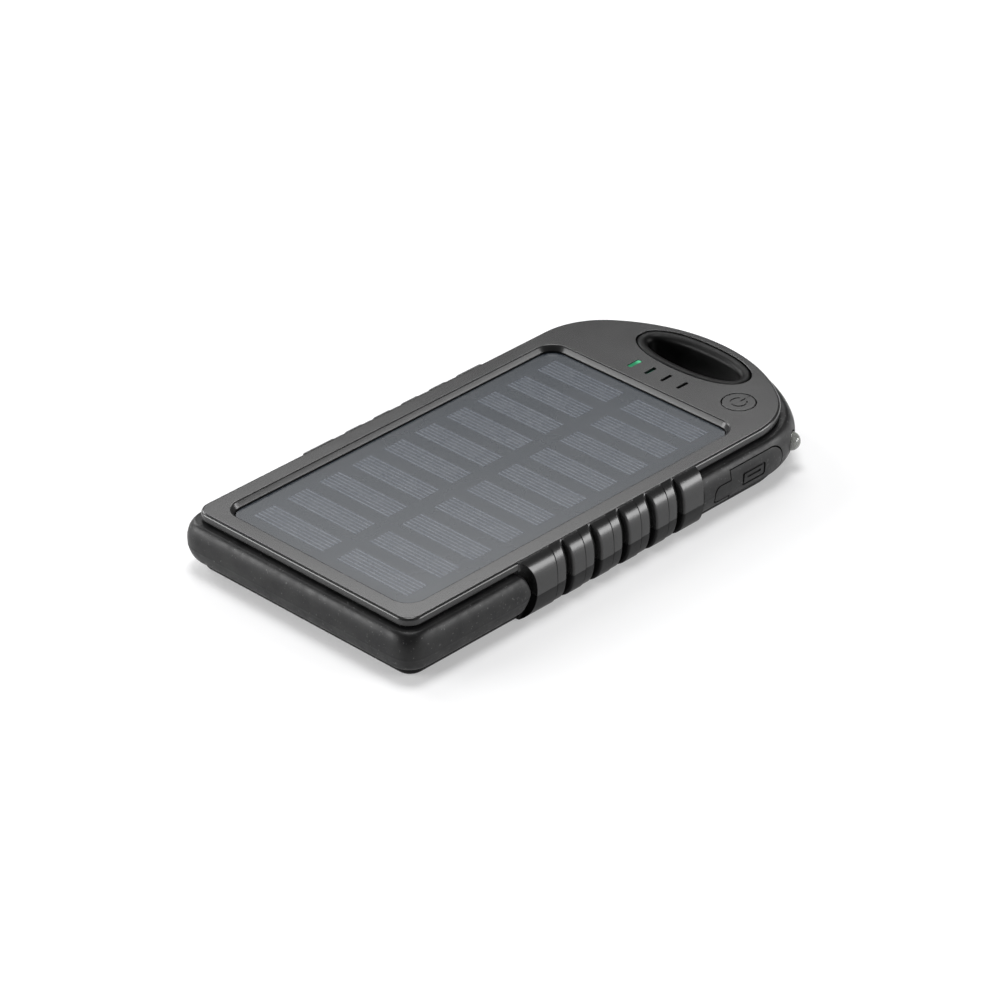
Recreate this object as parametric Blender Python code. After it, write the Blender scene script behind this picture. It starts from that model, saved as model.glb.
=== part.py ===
"""Solar phone charger: a flat power bank with a solar panel, rubber bumpers and a carabiner loop.

Lengths are in millimetres until solid_object() turns them into metres.  +Z is up, +Y points to the
loop end and +X is the side with the port flap.  The origin is the middle of the footprint, on the
surface that the charger lies on.
"""
from math import atan2, cos, pi, radians, sin, sqrt

import bmesh
import bpy
from mathutils import Vector

MM = 0.001
OVERSHOOT = 1.0              # how far a cutter runs past the face that it cuts

# Case: the plan outline of the top plate, seen from above
PLATE_HALF_WIDTH = 34.7
PLATE_HALF_LENGTH = 69.35
CASE_HEIGHT = 15.0
CORNER_RADIUS = 4.0          # the two square corners, at the -Y end
ARCH_RADIUS = 44.0           # middle of the loop end
SHOULDER_RADIUS = 19.6       # between the straight sides and the arch

# Case: levels and wall offsets, measured outwards from the plate's outline
PLATE_BOTTOM = 13.0
PLATE_EDGE = 0.6             # bevel round the top plate
BACK_INSET = 0.4             # the back cover's rim, inside the plate's outline
BACK_EDGE = 1.0              # bevel round the back
FLOOR_RIM = 2.2
PARTING = 6.0
PARTING_GAP = 0.3
CORE_OFFSET = -1.2
CAVITY_OFFSET = -2.6
FLOOR_TOP = 1.8
CEILING = 10.8               # under the solar panel
ARCH_CEILING = 13.2          # above the indicator board
ARCH_CAVITY_START = 45.2
FIT_GAP = 0.3

# Grips: a ribbed bank on each long side
GRIP_START = -35.4
GRIP_END = 22.6
NOTCH_FIRST = -23.8
NOTCH_PITCH = 9.13
NOTCH_WIDTH = 4.4
NOTCH_RAMP = 0.35
NOTCH_COUNT = 5
NOTCH_OFFSET = 0.1
RIB_TOP = 14.98
RIB_EDGE_OFFSET = -0.7
RIB_BULGE = 2.8
RIB_POWER = 2.5              # 2 would be a half ellipse
POCKET_DEPTH = 3.2
POCKET_HALF_HEIGHT = 7.3

# Rubber bumpers
BUMPER_BOTTOM = 2.6
BUMPER_TOP = 12.4
BUMPER_EDGE_OFFSET = 0.9
BUMPER_INNER_OFFSET = -0.9
BUMPER_BULGE = 2.8
CORNER_EXTRA_BULGE = 0.7
BUMPER_NOSE_START = -36.8
BUMPER_NOSE_LENGTH = 3.1

# Solar panel
PANEL_HALF_WIDTH = 30.15     # top edge of the bevelled frame
PANEL_LOW_Y = -64.95
PANEL_HIGH_Y = 42.3
PANEL_CORNER_RADIUS = 4.8
BEVEL_RUN = 0.8
BEVEL_DEPTH = 1.65
PANEL_LEDGE = 11.7
CELL_ROWS = 10
CELL_FIRST_Y = -57.0
CELL_PITCH = 10.2
CELL_HEIGHT = 6.6
CELL_INNER_X = 2.2
CELL_OUTER_X = 24.8

# Carabiner loop
LOOP_Y = 59.7
LOOP_HALF_WIDTH = 17.1
LOOP_HALF_HEIGHT = 7.4
LOOP_POWER = 2.2             # 2 would be a plain ellipse
LOOP_WALL = 0.95
LINER_THICKNESS = 2.7

# Button, indicators and torch
BUTTON_X = 22.25
BUTTON_Y = 51.15
BUTTON_RADIUS = 4.0
BUTTON_HOLE_RADIUS = 4.25
BUTTON_TRAVEL = 0.4
LED_COUNT = 4
LED_FIRST_X = -8.15
LED_PITCH = 5.15
LED_Y = 47.85
LED_SLOT = (0.95, 3.7)
TORCH_ANGLE = radians(32)
TORCH_Z = 7.0
TORCH_RADIUS = 2.4
TORCH_TIP = 25.0             # from the shoulder arc's centre
TORCH_BODY_LENGTH = 8.0
TORCH_HOLE_RADIUS = 2.75

# Ports and their flap
USB_Y = 42.3
MICRO_Y = 31.5
PORT_MOUTH_X = 33.0
BOARD_TOP = 4.0
FLAP_LOW_Y = 26.4
FLAP_STEP_Y = 31.7
FLAP_HIGH_Y = 50.1
FLAP_TALL = (3.2, 10.9)
FLAP_NARROW = (3.9, 8.4)
FLAP_INNER_OFFSET = 0.0
BOSS_TIP_X = 33.8
PORT_WINDOW_X = (30.0, 36.5)
PORT_WINDOW_Z = (3.8, 10.3)

# Inside: (low, high) levels and (x0, x1, y0, y1) places
BOARD_THICKNESS = 0.9
MAIN_BOARD_HALF_WIDTH = 31.2
MAIN_BOARD_Y = (24.5, 48.9)
MAIN_BOARD_CUT = 3.9         # along Y, at its two corners by the shoulders
INDICATOR_BOARD_Z = (10.0, 10.8)
SWITCH_HALF = 3.0
SWITCH_HEIGHT = 1.3
STEM_RADIUS = 1.6
STEM_TOP = 12.8
CHIP = (-9.0, -4.0, 39.0, 44.0)
PANEL_WIRE_WINDOW = (-8.0, 8.0, 30.0, 38.0)
BATTERY = (-27.0, 27.0, -62.0, 16.5)
BATTERY_TOP = 10.0
BATTERY_PAD = (-24.0, 24.0, -58.0, 13.0)
BATTERY_BOARD = (-20.0, 20.0, 17.3, 21.0)
WIRE_RADIUS = 0.5

# Fasteners
COVER_SCREWS = ((30.0, -64.6), (-30.0, -64.6), (30.0, 20.0), (-30.0, 20.0))
BOARD_SCREWS = ((-27.5, 28.0), (-27.5, 45.0))
BOSS_RADIUS = 2.4
POST_RADIUS = 2.0
COVER_SCREW_HOLE = 1.3
BOARD_SCREW_HOLE = 1.0
SCREW_HEAD_HOLE = 2.05
SCREW_HEAD_DEPTH = 2.3

SHOULDER_X = PLATE_HALF_WIDTH - SHOULDER_RADIUS
ARCH_Y = PLATE_HALF_LENGTH - ARCH_RADIUS
SHOULDER_Y = ARCH_Y + sqrt((ARCH_RADIUS - SHOULDER_RADIUS) ** 2 - SHOULDER_X ** 2)
SHOULDER_TURN = atan2(SHOULDER_Y - ARCH_Y, SHOULDER_X)
CORNER_X = PLATE_HALF_WIDTH - CORNER_RADIUS
CORNER_Y = CORNER_RADIUS - PLATE_HALF_LENGTH
MIDDLE = (BUMPER_BOTTOM + BUMPER_TOP) / 2
MAIN_BOARD_LOW = BOARD_TOP - BOARD_THICKNESS


# ---------------------------------------------------------------- materials

def material(name, colour, roughness, metallic=0.0):
    result = bpy.data.materials.new(name)
    result.use_nodes = True
    shader = result.node_tree.nodes["Principled BSDF"]
    shader.inputs["Base Color"].default_value = (*colour, 1.0)
    shader.inputs["Roughness"].default_value = roughness
    shader.inputs["Metallic"].default_value = metallic
    result.diffuse_color = (*colour, 1.0)
    return result


def make_materials():
    return {
        "case": material("case_plastic", (0.022, 0.022, 0.024), 0.38),
        "rubber": material("bumper_rubber", (0.020, 0.020, 0.021), 0.75),
        "film": material("panel_film", (0.03, 0.035, 0.045), 0.12),
        "board": material("panel_board", (0.012, 0.014, 0.018), 0.5),
        "cell": material("solar_cell", (0.05, 0.06, 0.085), 0.3),
        "window": material("light_pipe", (0.02, 0.12, 0.07), 0.25),
        "circuit": material("circuit_board", (0.02, 0.12, 0.05), 0.5),
        "metal": material("shell_metal", (0.75, 0.75, 0.73), 0.3, 1.0),
        "tongue": material("port_tongue", (0.02, 0.02, 0.02), 0.45),
        "chip": material("chip_plastic", (0.03, 0.03, 0.03), 0.5),
        "led": material("led_body", (0.85, 0.85, 0.8), 0.3),
        "torch": material("torch_lens", (0.85, 0.87, 0.82), 0.08),
        "pouch": material("battery_pouch", (0.6, 0.61, 0.63), 0.35, 0.6),
        "foam": material("foam_tape", (0.05, 0.05, 0.05), 0.9),
        "steel": material("screw_steel", (0.12, 0.12, 0.12), 0.35, 1.0),
        "wire_red": material("wire_red", (0.5, 0.02, 0.02), 0.5),
        "wire_black": material("wire_black", (0.02, 0.02, 0.02), 0.5),
    }


# ---------------------------------------------------------------- outlines and solids

def arc(centre, radius, start, end, steps):
    """Points on an arc, both ends included."""
    angles = [start + (end - start) * i / steps for i in range(steps + 1)]
    return [(centre[0] + radius * cos(a), centre[1] + radius * sin(a)) for a in angles]


def plan(offset):
    """The plate's outline, grown by offset, counter-clockwise from the right shoulder."""
    shoulder = SHOULDER_RADIUS + offset
    corner = CORNER_RADIUS + offset
    right = arc((SHOULDER_X, SHOULDER_Y), shoulder, 0, SHOULDER_TURN, 6)
    arch = arc((0, ARCH_Y), ARCH_RADIUS + offset, SHOULDER_TURN, pi - SHOULDER_TURN, 10)[1:-1]
    left = arc((-SHOULDER_X, SHOULDER_Y), shoulder, pi - SHOULDER_TURN, pi, 6)
    low_left = arc((-CORNER_X, CORNER_Y), corner, pi, 1.5 * pi, 4)
    low_right = arc((CORNER_X, CORNER_Y), corner, 1.5 * pi, 2 * pi, 4)
    return right + arch + left + low_left + low_right


def rounded_rectangle(x0, y0, x1, y1, radius, steps=3):
    corners = (((x1 - radius, y1 - radius), 0), ((x0 + radius, y1 - radius), 0.5 * pi),
               ((x0 + radius, y0 + radius), pi), ((x1 - radius, y0 + radius), 1.5 * pi))
    points = []
    for centre, start in corners:
        points += arc(centre, radius, start, start + 0.5 * pi, steps)
    return points


def panel_outline(inset):
    return rounded_rectangle(-PANEL_HALF_WIDTH + inset, PANEL_LOW_Y + inset,
                             PANEL_HALF_WIDTH - inset, PANEL_HIGH_Y - inset,
                             PANEL_CORNER_RADIUS - inset)


def loop_outline(inset, count=40):
    """The carabiner hole's oval (a superellipse), made smaller by inset."""
    points = []
    for i in range(count):
        angle = 2 * pi * i / count
        c, s = cos(angle), sin(angle)
        x = (LOOP_HALF_WIDTH - inset) * abs(c) ** (2 / LOOP_POWER) * (1 if c >= 0 else -1)
        y = (LOOP_HALF_HEIGHT - inset) * abs(s) ** (2 / LOOP_POWER) * (1 if s >= 0 else -1)
        points.append((x, LOOP_Y + y))
    return points


def stack(levels):
    """A closed solid through a pile of outlines, given from the bottom up as (outline, z)."""
    count = len(levels[0][0])
    points = [(x, y, z) for outline, z in levels for x, y in outline]
    faces = [tuple(reversed(range(count)))]
    for level in range(len(levels) - 1):
        low = level * count
        for i in range(count):
            j = (i + 1) % count
            faces.append((low + i, low + j, low + count + j, low + count + i))
    top = (len(levels) - 1) * count
    faces.append(tuple(range(top, top + count)))
    return points, faces


def prism(outline, z0, z1):
    return stack([(outline, z0), (outline, z1)])


def box(x0, x1, y0, y1, z0, z1):
    return prism([(x0, y0), (x1, y0), (x1, y1), (x0, y1)], z0, z1)


def disc(x, y, radius, z0, z1, steps=20):
    return prism(arc((x, y), radius, 0, 2 * pi, steps)[:-1], z0, z1)


def sweep(stations, profiles):
    """A closed solid through one closed profile per station.

    A station is (x, y, nx, ny): a place on the outline and the outward direction there.
    A profile is a list of (offset, z), clockwise when seen along the way of the stations.
    """
    count = len(profiles[0])
    points = []
    for (x, y, nx, ny), profile in zip(stations, profiles):
        points += [(x + nx * offset, y + ny * offset, z) for offset, z in profile]
    faces = [tuple(range(count))]
    for station in range(len(stations) - 1):
        low = station * count
        for i in range(count):
            j = (i + 1) % count
            faces.append((low + i, low + count + i, low + count + j, low + j))
    last = (len(stations) - 1) * count
    faces.append(tuple(reversed(range(last, last + count))))
    return points, faces


def revolve(profile, steps):
    """A closed solid of revolution about Z from (radius, z) pairs that start and end on the axis."""
    points = [(0, 0, profile[0][1])]
    for radius, z in profile[1:-1]:
        points += [(x, y, z) for x, y in arc((0, 0), radius, 0, 2 * pi, steps)[:-1]]
    points.append((0, 0, profile[-1][1]))
    rings = len(profile) - 2
    faces = [(0, 1 + (i + 1) % steps, 1 + i) for i in range(steps)]
    for ring in range(rings - 1):
        low = 1 + ring * steps
        for i in range(steps):
            j = (i + 1) % steps
            faces.append((low + i, low + j, low + steps + j, low + steps + i))
    low = 1 + (rings - 1) * steps
    faces += [(low + i, low + (i + 1) % steps, len(points) - 1) for i in range(steps)]
    return points, faces


def moved(solid, shift):
    points, faces = solid
    return [tuple(a + b for a, b in zip(p, shift)) for p in points], faces


def aimed(solid, centre, direction):
    """Turns a solid made about Z so that its axis lies level along direction, at centre."""
    points, faces = solid
    aim = Vector((0, 0, 1)).rotation_difference(Vector((*direction, 0)))
    return [tuple(aim @ Vector(p) + Vector(centre)) for p in points], faces


def combined(*solids):
    points, faces = [], []
    for solid_points, solid_faces in solids:
        first = len(points)
        points += solid_points
        faces += [tuple(first + i for i in face) for face in solid_faces]
    return points, faces


# ---------------------------------------------------------------- objects

def solid_object(name, solid, finish=None, origin=(0, 0, 0), round_piece=False):
    points, faces = solid
    mesh = bpy.data.meshes.new(name)
    mesh.from_pydata([tuple((a - b) * MM for a, b in zip(p, origin)) for p in points], [], faces)
    body = bmesh.new()
    body.from_mesh(mesh)
    bmesh.ops.recalc_face_normals(body, faces=body.faces)
    body.to_mesh(mesh)
    body.free()
    result = bpy.data.objects.new(name, mesh)
    result.location = [c * MM for c in origin]
    bpy.context.scene.collection.objects.link(result)
    if finish:
        mesh.materials.append(finish)
    if round_piece:
        mesh.shade_smooth()
        mesh.set_sharp_from_angle(angle=radians(35))
    return result


def tool_object(name, *solids):
    result = solid_object(name, combined(*solids))
    result.hide_render = True
    result.display_type = "WIRE"
    return result


def boolean(target, operation, tool):
    modifier = target.modifiers.new(tool.name, "BOOLEAN")
    modifier.operation = operation
    modifier.object = tool
    modifier.solver = "EXACT"


def unite(target, name, *solids):
    for number, solid in enumerate(solids):
        boolean(target, "UNION", tool_object(f"{name}_{number}", solid))


def cut(target, name, *solids):
    boolean(target, "DIFFERENCE", tool_object(name, *solids))


# ---------------------------------------------------------------- stations along the outline

def straight_station(side, y):
    return side * PLATE_HALF_WIDTH, y, side, 0.0


def arc_stations(centre, radius, start, end, steps):
    angles = [start + (end - start) * i / steps for i in range(steps + 1)]
    return [(centre[0] + radius * cos(a), centre[1] + radius * sin(a), cos(a), sin(a)) for a in angles]


def shoulder_stations(start, end, steps):
    return arc_stations((SHOULDER_X, SHOULDER_Y), SHOULDER_RADIUS, start, end, steps)


def top_stations():
    """Round the loop end, from the grip on the +X side to the grip on the -X side."""
    arch = arc_stations((0, ARCH_Y), ARCH_RADIUS, SHOULDER_TURN, pi - SHOULDER_TURN, 12)[1:-1]
    left = arc_stations((-SHOULDER_X, SHOULDER_Y), SHOULDER_RADIUS, pi - SHOULDER_TURN, pi, 6)
    first = straight_station(1, GRIP_END + FIT_GAP)
    last = straight_station(-1, GRIP_END + FIT_GAP)
    return [first] + shoulder_stations(0, SHOULDER_TURN, 6) + arch + left + [last]


def bottom_stations():
    """Round the square end, with each station's height factor: the ends are half-round noses."""
    nose = [radians(a) for a in (78, 60, 40, 20, 0)]
    ends = [(BUMPER_NOSE_START + BUMPER_NOSE_LENGTH * sin(a), cos(a)) for a in nose]
    right = [(straight_station(1, y), factor) for y, factor in ends]
    left = [(straight_station(-1, y), factor) for y, factor in reversed(ends)]
    corner_right = arc_stations((CORNER_X, CORNER_Y), CORNER_RADIUS, 0, -0.5 * pi, 5)
    corner_left = arc_stations((-CORNER_X, CORNER_Y), CORNER_RADIUS, -0.5 * pi, -pi, 5)
    return right + [(station, 1.0) for station in corner_right + corner_left] + left


def bulged(edge, bulge, z, middle, half_height):
    """Outward offset of a barrel-shaped wall: an ellipse arc from edge to bulge and back."""
    level = max(-1.0, min(1.0, (z - middle) / half_height))
    return edge + (bulge - edge) * sqrt(1 - level * level)


def bumper_surface(station, z):
    nx, ny = station[2], station[3]
    bulge = BUMPER_BULGE + CORNER_EXTRA_BULGE * (2 * nx * ny) ** 2
    return bulged(BUMPER_EDGE_OFFSET, bulge, z, MIDDLE, (BUMPER_TOP - BUMPER_BOTTOM) / 2)


def bumper_profile(station, factor=1.0, steps=8):
    half = (BUMPER_TOP - BUMPER_BOTTOM) / 2
    levels = [sin(pi * (0.5 - i / steps)) for i in range(steps + 1)]
    outer = [(bumper_surface(station, MIDDLE + half * u), MIDDLE + half * factor * u) for u in levels]
    inner = [(BUMPER_INNER_OFFSET, MIDDLE - half * factor), (BUMPER_INNER_OFFSET, MIDDLE + half * factor)]
    return outer + inner


# ---------------------------------------------------------------- case

def grip_stations():
    """(y, factor) along a grip: factor 1 on a rib, 0 in a notch."""
    stations = [(GRIP_START, 1.0)]
    for i in range(NOTCH_COUNT):
        middle = NOTCH_FIRST + i * NOTCH_PITCH
        low, high = middle - NOTCH_WIDTH / 2, middle + NOTCH_WIDTH / 2
        stations += [(low, 1.0), (low + NOTCH_RAMP, 0.0), (high - NOTCH_RAMP, 0.0), (high, 1.0)]
    return stations + [(GRIP_END, 1.0)]


def rib_offset(z):
    """Outward offset of a rib: a half oval, widest at half height and inside the plate at its edges."""
    level = min(1.0, abs(z - RIB_TOP / 2) / (RIB_TOP / 2))
    return RIB_EDGE_OFFSET + (RIB_BULGE - RIB_EDGE_OFFSET) * sqrt(1 - level ** RIB_POWER)


def grip_bank(side, z0, z1, steps):
    """The ribs of one side between two levels, as one solid."""
    root = (CORE_OFFSET + CAVITY_OFFSET) / 2
    levels = [z1 + (z0 - z1) * (0.5 - 0.5 * cos(pi * i / steps)) for i in range(steps + 1)]
    stations, profiles = [], []
    for y, factor in grip_stations():
        profile = []
        for z in levels:
            rib = rib_offset(z)
            notch = min(rib, NOTCH_OFFSET)
            profile.append((notch + factor * (rib - notch), z))
        stations.append(straight_station(side, y))
        profiles.append(profile + [(root, z0), (root, z1)])
    return sweep(stations, profiles)


def bumper_pockets():
    """Half-round pockets in the first ribs, round the noses of the bottom bumper."""
    steps = 16
    angles = [pi * (i / steps - 0.5) for i in range(steps + 1)]

    def pocket(side, offsets, middle, half):
        points = []
        for offset in offsets:
            x = side * (PLATE_HALF_WIDTH + offset)
            points += [(x, GRIP_START + POCKET_DEPTH * cos(a), middle + half * sin(a)) for a in angles]
            points += [(x, GRIP_START - OVERSHOOT, middle + half), (x, GRIP_START - OVERSHOOT, middle - half)]
        count = len(points) // 2
        faces = [tuple(range(count)), tuple(reversed(range(count, 2 * count)))]
        faces += [(i, (i + 1) % count, count + (i + 1) % count, count + i) for i in range(count)]
        return points, faces

    root_half = (BUMPER_TOP - BUMPER_BOTTOM) / 2 + FIT_GAP
    pockets = []
    for side in (1, -1):
        pockets.append(pocket(side, (CORE_OFFSET, 0.1), MIDDLE, root_half))
        pockets.append(pocket(side, (0.05, RIB_BULGE + OVERSHOOT), RIB_TOP / 2, POCKET_HALF_HEIGHT))
    return pockets


def port_window():
    return box(*PORT_WINDOW_X, FLAP_LOW_Y - 0.1, USB_Y + 7.0, *PORT_WINDOW_Z)


def torch_direction():
    return cos(TORCH_ANGLE), sin(TORCH_ANGLE)


def torch_point(distance):
    dx, dy = torch_direction()
    return SHOULDER_X + distance * dx, SHOULDER_Y + distance * dy, TORCH_Z


def torch_hole():
    hole = prism(arc((0, 0), TORCH_HOLE_RADIUS, 0, 2 * pi, 20)[:-1], 0, 11)
    return aimed(hole, torch_point(15), torch_direction())


def screw_bosses(z0, z1):
    return [disc(x, y, BOSS_RADIUS, z0, z1, 16) for x, y in COVER_SCREWS]


def front_cover(finish):
    low = PARTING + PARTING_GAP / 2
    core, rim = plan(CORE_OFFSET), plan(0)
    cover = solid_object("front_cover", stack([(core, low), (core, PLATE_BOTTOM), (rim, PLATE_BOTTOM),
                                               (rim, CASE_HEIGHT - PLATE_EDGE),
                                               (plan(-PLATE_EDGE), CASE_HEIGHT)]), finish)
    cavity = plan(CAVITY_OFFSET)
    arch_cavity = [(x, y) for x, y in cavity if y > ARCH_CAVITY_START]
    edge = SHOULDER_X + sqrt((SHOULDER_RADIUS + CAVITY_OFFSET) ** 2 - (ARCH_CAVITY_START - SHOULDER_Y) ** 2)
    arch_cavity = [(edge, ARCH_CAVITY_START)] + arch_cavity + [(-edge, ARCH_CAVITY_START)]
    cut(cover, "front_cavity", prism(cavity, low - OVERSHOOT, CEILING))
    cut(cover, "front_arch_cavity", prism(arch_cavity, CEILING - OVERSHOOT, ARCH_CEILING))
    unite(cover, "front_grip", grip_bank(1, low, RIB_TOP, 8), grip_bank(-1, low, RIB_TOP, 8))
    unite(cover, "front_tunnel", prism(loop_outline(-LOOP_WALL), low, ARCH_CEILING + 0.5))
    unite(cover, "front_bosses", combined(*screw_bosses(low, CEILING + 0.5)))
    slope = BEVEL_RUN / BEVEL_DEPTH
    pocket = stack([(panel_outline(BEVEL_RUN), PANEL_LEDGE),
                    (panel_outline(BEVEL_RUN), CASE_HEIGHT - BEVEL_DEPTH),
                    (panel_outline(-slope * OVERSHOOT), CASE_HEIGHT + OVERSHOOT)])
    cut(cover, "panel_pocket", pocket)
    above = CASE_HEIGHT + OVERSHOOT
    cut(cover, "wire_window", box(*PANEL_WIRE_WINDOW, CEILING - OVERSHOOT, PANEL_LEDGE + OVERSHOOT))
    cut(cover, "front_loop_hole", prism(loop_outline(0), low - OVERSHOOT, above))
    button_hole = disc(BUTTON_X, BUTTON_Y, BUTTON_HOLE_RADIUS, ARCH_CEILING - OVERSHOOT, above, 28)
    cut(cover, "button_hole", button_hole)
    slots = []
    for i in range(LED_COUNT):
        x = LED_FIRST_X + i * LED_PITCH
        slots.append(box(x - LED_SLOT[0] / 2, x + LED_SLOT[0] / 2, LED_Y - LED_SLOT[1] / 2,
                         LED_Y + LED_SLOT[1] / 2, ARCH_CEILING - OVERSHOOT, above))
    cut(cover, "indicator_slots", *slots)
    screws = [disc(x, y, COVER_SCREW_HOLE, low - OVERSHOOT, CEILING + 0.3, 12) for x, y in COVER_SCREWS]
    cut(cover, "front_screw_holes", *screws)
    cut(cover, "front_side_holes", port_window())
    cut(cover, "front_torch_hole", torch_hole())
    for number, pocket in enumerate(bumper_pockets()):
        cut(cover, f"front_pocket_{number}", pocket)
    return cover


def back_cover(finish):
    high = PARTING - PARTING_GAP / 2
    above = high + OVERSHOOT
    root = FLOOR_TOP / 2
    core, rim = plan(CORE_OFFSET), plan(-BACK_INSET)
    cover = solid_object("back_cover", stack([(plan(-BACK_INSET - BACK_EDGE), 0), (rim, BACK_EDGE),
                                              (rim, FLOOR_RIM), (core, FLOOR_RIM), (core, high)]), finish)
    cut(cover, "back_cavity", prism(plan(CAVITY_OFFSET), FLOOR_TOP, above))
    unite(cover, "back_grip", grip_bank(1, 0, high, 7), grip_bank(-1, 0, high, 7))
    unite(cover, "back_tunnel", prism(loop_outline(-LOOP_WALL), root, high))
    unite(cover, "back_bosses", combined(*screw_bosses(root, high)))
    post_top = MAIN_BOARD_LOW - FIT_GAP
    posts = [disc(x, y, POST_RADIUS, root, post_top, 12) for x, y in BOARD_SCREWS]
    unite(cover, "board_posts", combined(*posts))
    cut(cover, "back_loop_hole", prism(loop_outline(0), -OVERSHOOT, above))
    screws = [disc(x, y, COVER_SCREW_HOLE, -OVERSHOOT, above, 12) for x, y in COVER_SCREWS]
    cut(cover, "back_screw_holes", *screws)
    heads = [disc(x, y, SCREW_HEAD_HOLE, -OVERSHOOT, SCREW_HEAD_DEPTH, 16) for x, y in COVER_SCREWS]
    cut(cover, "screw_head_pockets", *heads)
    holes = [disc(x, y, BOARD_SCREW_HOLE, root + 0.3, BOARD_TOP, 10) for x, y in BOARD_SCREWS]
    cut(cover, "post_holes", *holes)
    cut(cover, "back_side_holes", port_window())
    cut(cover, "back_torch_hole", torch_hole())
    for number, pocket in enumerate(bumper_pockets()):
        cut(cover, f"back_pocket_{number}", pocket)
    return cover


# ---------------------------------------------------------------- rubber parts

def bumper_bottom(finish):
    stations = bottom_stations()
    profiles = [bumper_profile(station, factor) for station, factor in stations]
    return solid_object("bumper_bottom", sweep([s for s, _ in stations], profiles), finish, round_piece=True)


def flap_turn(y):
    """Angle on the shoulder arc at which the bumper's outside reaches y."""
    return atan2(y - SHOULDER_Y, sqrt((SHOULDER_RADIUS + 2) ** 2 - (y - SHOULDER_Y) ** 2))


def flap_window():
    """The opening in the top bumper: tall over the big port, narrow over the small one."""
    def part(stations, z0, z1):
        profile = [(4.5, z1), (4.5, z0), (-2.0, z0), (-2.0, z1)]
        return sweep(stations, [profile] * len(stations))
    tall = [straight_station(1, FLAP_STEP_Y), straight_station(1, SHOULDER_Y - 4)]
    tall += shoulder_stations(0, flap_turn(FLAP_HIGH_Y), 3)
    narrow = [straight_station(1, FLAP_LOW_Y), straight_station(1, FLAP_STEP_Y + 1)]
    return part(tall, *FLAP_TALL), part(narrow, *FLAP_NARROW)


def bumper_top(finish):
    stations = top_stations()
    bumper = solid_object("bumper_top", sweep(stations, [bumper_profile(s) for s in stations]),
                          finish, round_piece=True)
    tall, narrow = flap_window()
    cut(bumper, "flap_window_tall", tall)
    cut(bumper, "flap_window_narrow", narrow)
    cut(bumper, "bumper_torch_hole", torch_hole())
    return bumper


def hinge_place():
    """The flap turns about a vertical line just outside its far end."""
    angle = flap_turn(FLAP_HIGH_Y)
    radius = SHOULDER_RADIUS + BUMPER_BULGE + 0.1
    return SHOULDER_X + radius * cos(angle), SHOULDER_Y + radius * sin(angle), MIDDLE


def usb_flap(finish):
    """The port flap: a curved cover whose outside continues the bumper, with two sealing bosses."""
    end = flap_turn(FLAP_HIGH_Y) - FIT_GAP / (SHOULDER_RADIUS + 2)
    stations = [straight_station(1, FLAP_LOW_Y + FIT_GAP), straight_station(1, FLAP_STEP_Y + FIT_GAP / 2),
                straight_station(1, FLAP_STEP_Y + 1.5 * FIT_GAP), straight_station(1, SHOULDER_Y - 4)]
    narrow = 2
    stations += shoulder_stations(0, end, 4)
    profiles = []
    for number, station in enumerate(stations):
        z0, z1 = FLAP_NARROW if number < narrow else FLAP_TALL
        z0, z1 = z0 + FIT_GAP, z1 - FIT_GAP
        outer = [(bumper_surface(station, z), z) for z in [z1 + (z0 - z1) * i / 6 for i in range(7)]]
        profiles.append(outer + [(FLAP_INNER_OFFSET, z0), (FLAP_INNER_OFFSET, z1)])
    flap = solid_object("usb_flap", sweep(stations, profiles), finish, hinge_place(), True)
    inner = PLATE_HALF_WIDTH + FLAP_INNER_OFFSET + 0.5
    unite(flap, "flap_boss", box(BOSS_TIP_X, inner, USB_Y - 5.4, USB_Y + 5.2, 5.3, 8.9),
          box(BOSS_TIP_X, inner, MICRO_Y - 2.6, MICRO_Y + 2.6, 4.9, 6.6))
    return flap


def loop_liner(finish):
    """The rubber ring that lines the carabiner hole."""
    profile = [(0, 0.7), (0, 14.3), (0.10, 14.75), (0.32, 15.0), (0.62, 14.95), (0.87, 14.5), (1, 13.6),
               (1, 1.6), (0.87, 0.7), (0.62, 0.3), (0.32, 0.25), (0.10, 0.35)]
    count = 40
    rings = [loop_outline(FIT_GAP + LINER_THICKNESS * part, count) for part, _ in profile]
    points = [(x, y, z) for ring, (_, z) in zip(rings, profile) for x, y in ring]
    faces = []
    for level in range(len(profile)):
        low, high = level * count, (level + 1) % len(profile) * count
        faces += [(low + i, low + (i + 1) % count, high + (i + 1) % count, high + i) for i in range(count)]
    return solid_object("loop_liner", (points, faces), finish, round_piece=True)


# ---------------------------------------------------------------- solar panel

def solar_panel(finishes):
    board_top = PANEL_LEDGE + FIT_GAP + 0.5
    solid_object("panel_board", prism(panel_outline(BEVEL_RUN + FIT_GAP), PANEL_LEDGE + FIT_GAP, board_top),
                 finishes["board"])
    low, high = board_top + 0.1, board_top + 0.3
    for row in range(CELL_ROWS):
        for column, side in enumerate((-1, 1)):
            x0, x1 = sorted((side * CELL_INNER_X, side * CELL_OUTER_X))
            y = CELL_FIRST_Y + row * CELL_PITCH
            solid_object(f"solar_cell_{2 * row + column + 1:02d}",
                         box(x0, x1, y - CELL_HEIGHT / 2, y + CELL_HEIGHT / 2, low, high), finishes["cell"])
    solid_object("panel_film", prism(panel_outline(BEVEL_RUN + 0.25), high + 0.1, CASE_HEIGHT - BEVEL_DEPTH),
                 finishes["film"])


# ---------------------------------------------------------------- button, indicators, torch

def power_button(finish):
    shape = revolve([(0, 13.0), (1.5, 13.0), (1.5, 13.5), (BUTTON_RADIUS, 13.5), (BUTTON_RADIUS, 14.85),
                     (BUTTON_RADIUS - 0.15, CASE_HEIGHT), (0, CASE_HEIGHT)], 28)
    place = (BUTTON_X, BUTTON_Y, CASE_HEIGHT)
    solid_object("power_button", moved(shape, (BUTTON_X, BUTTON_Y, 0)), finish, place, True)


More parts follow.
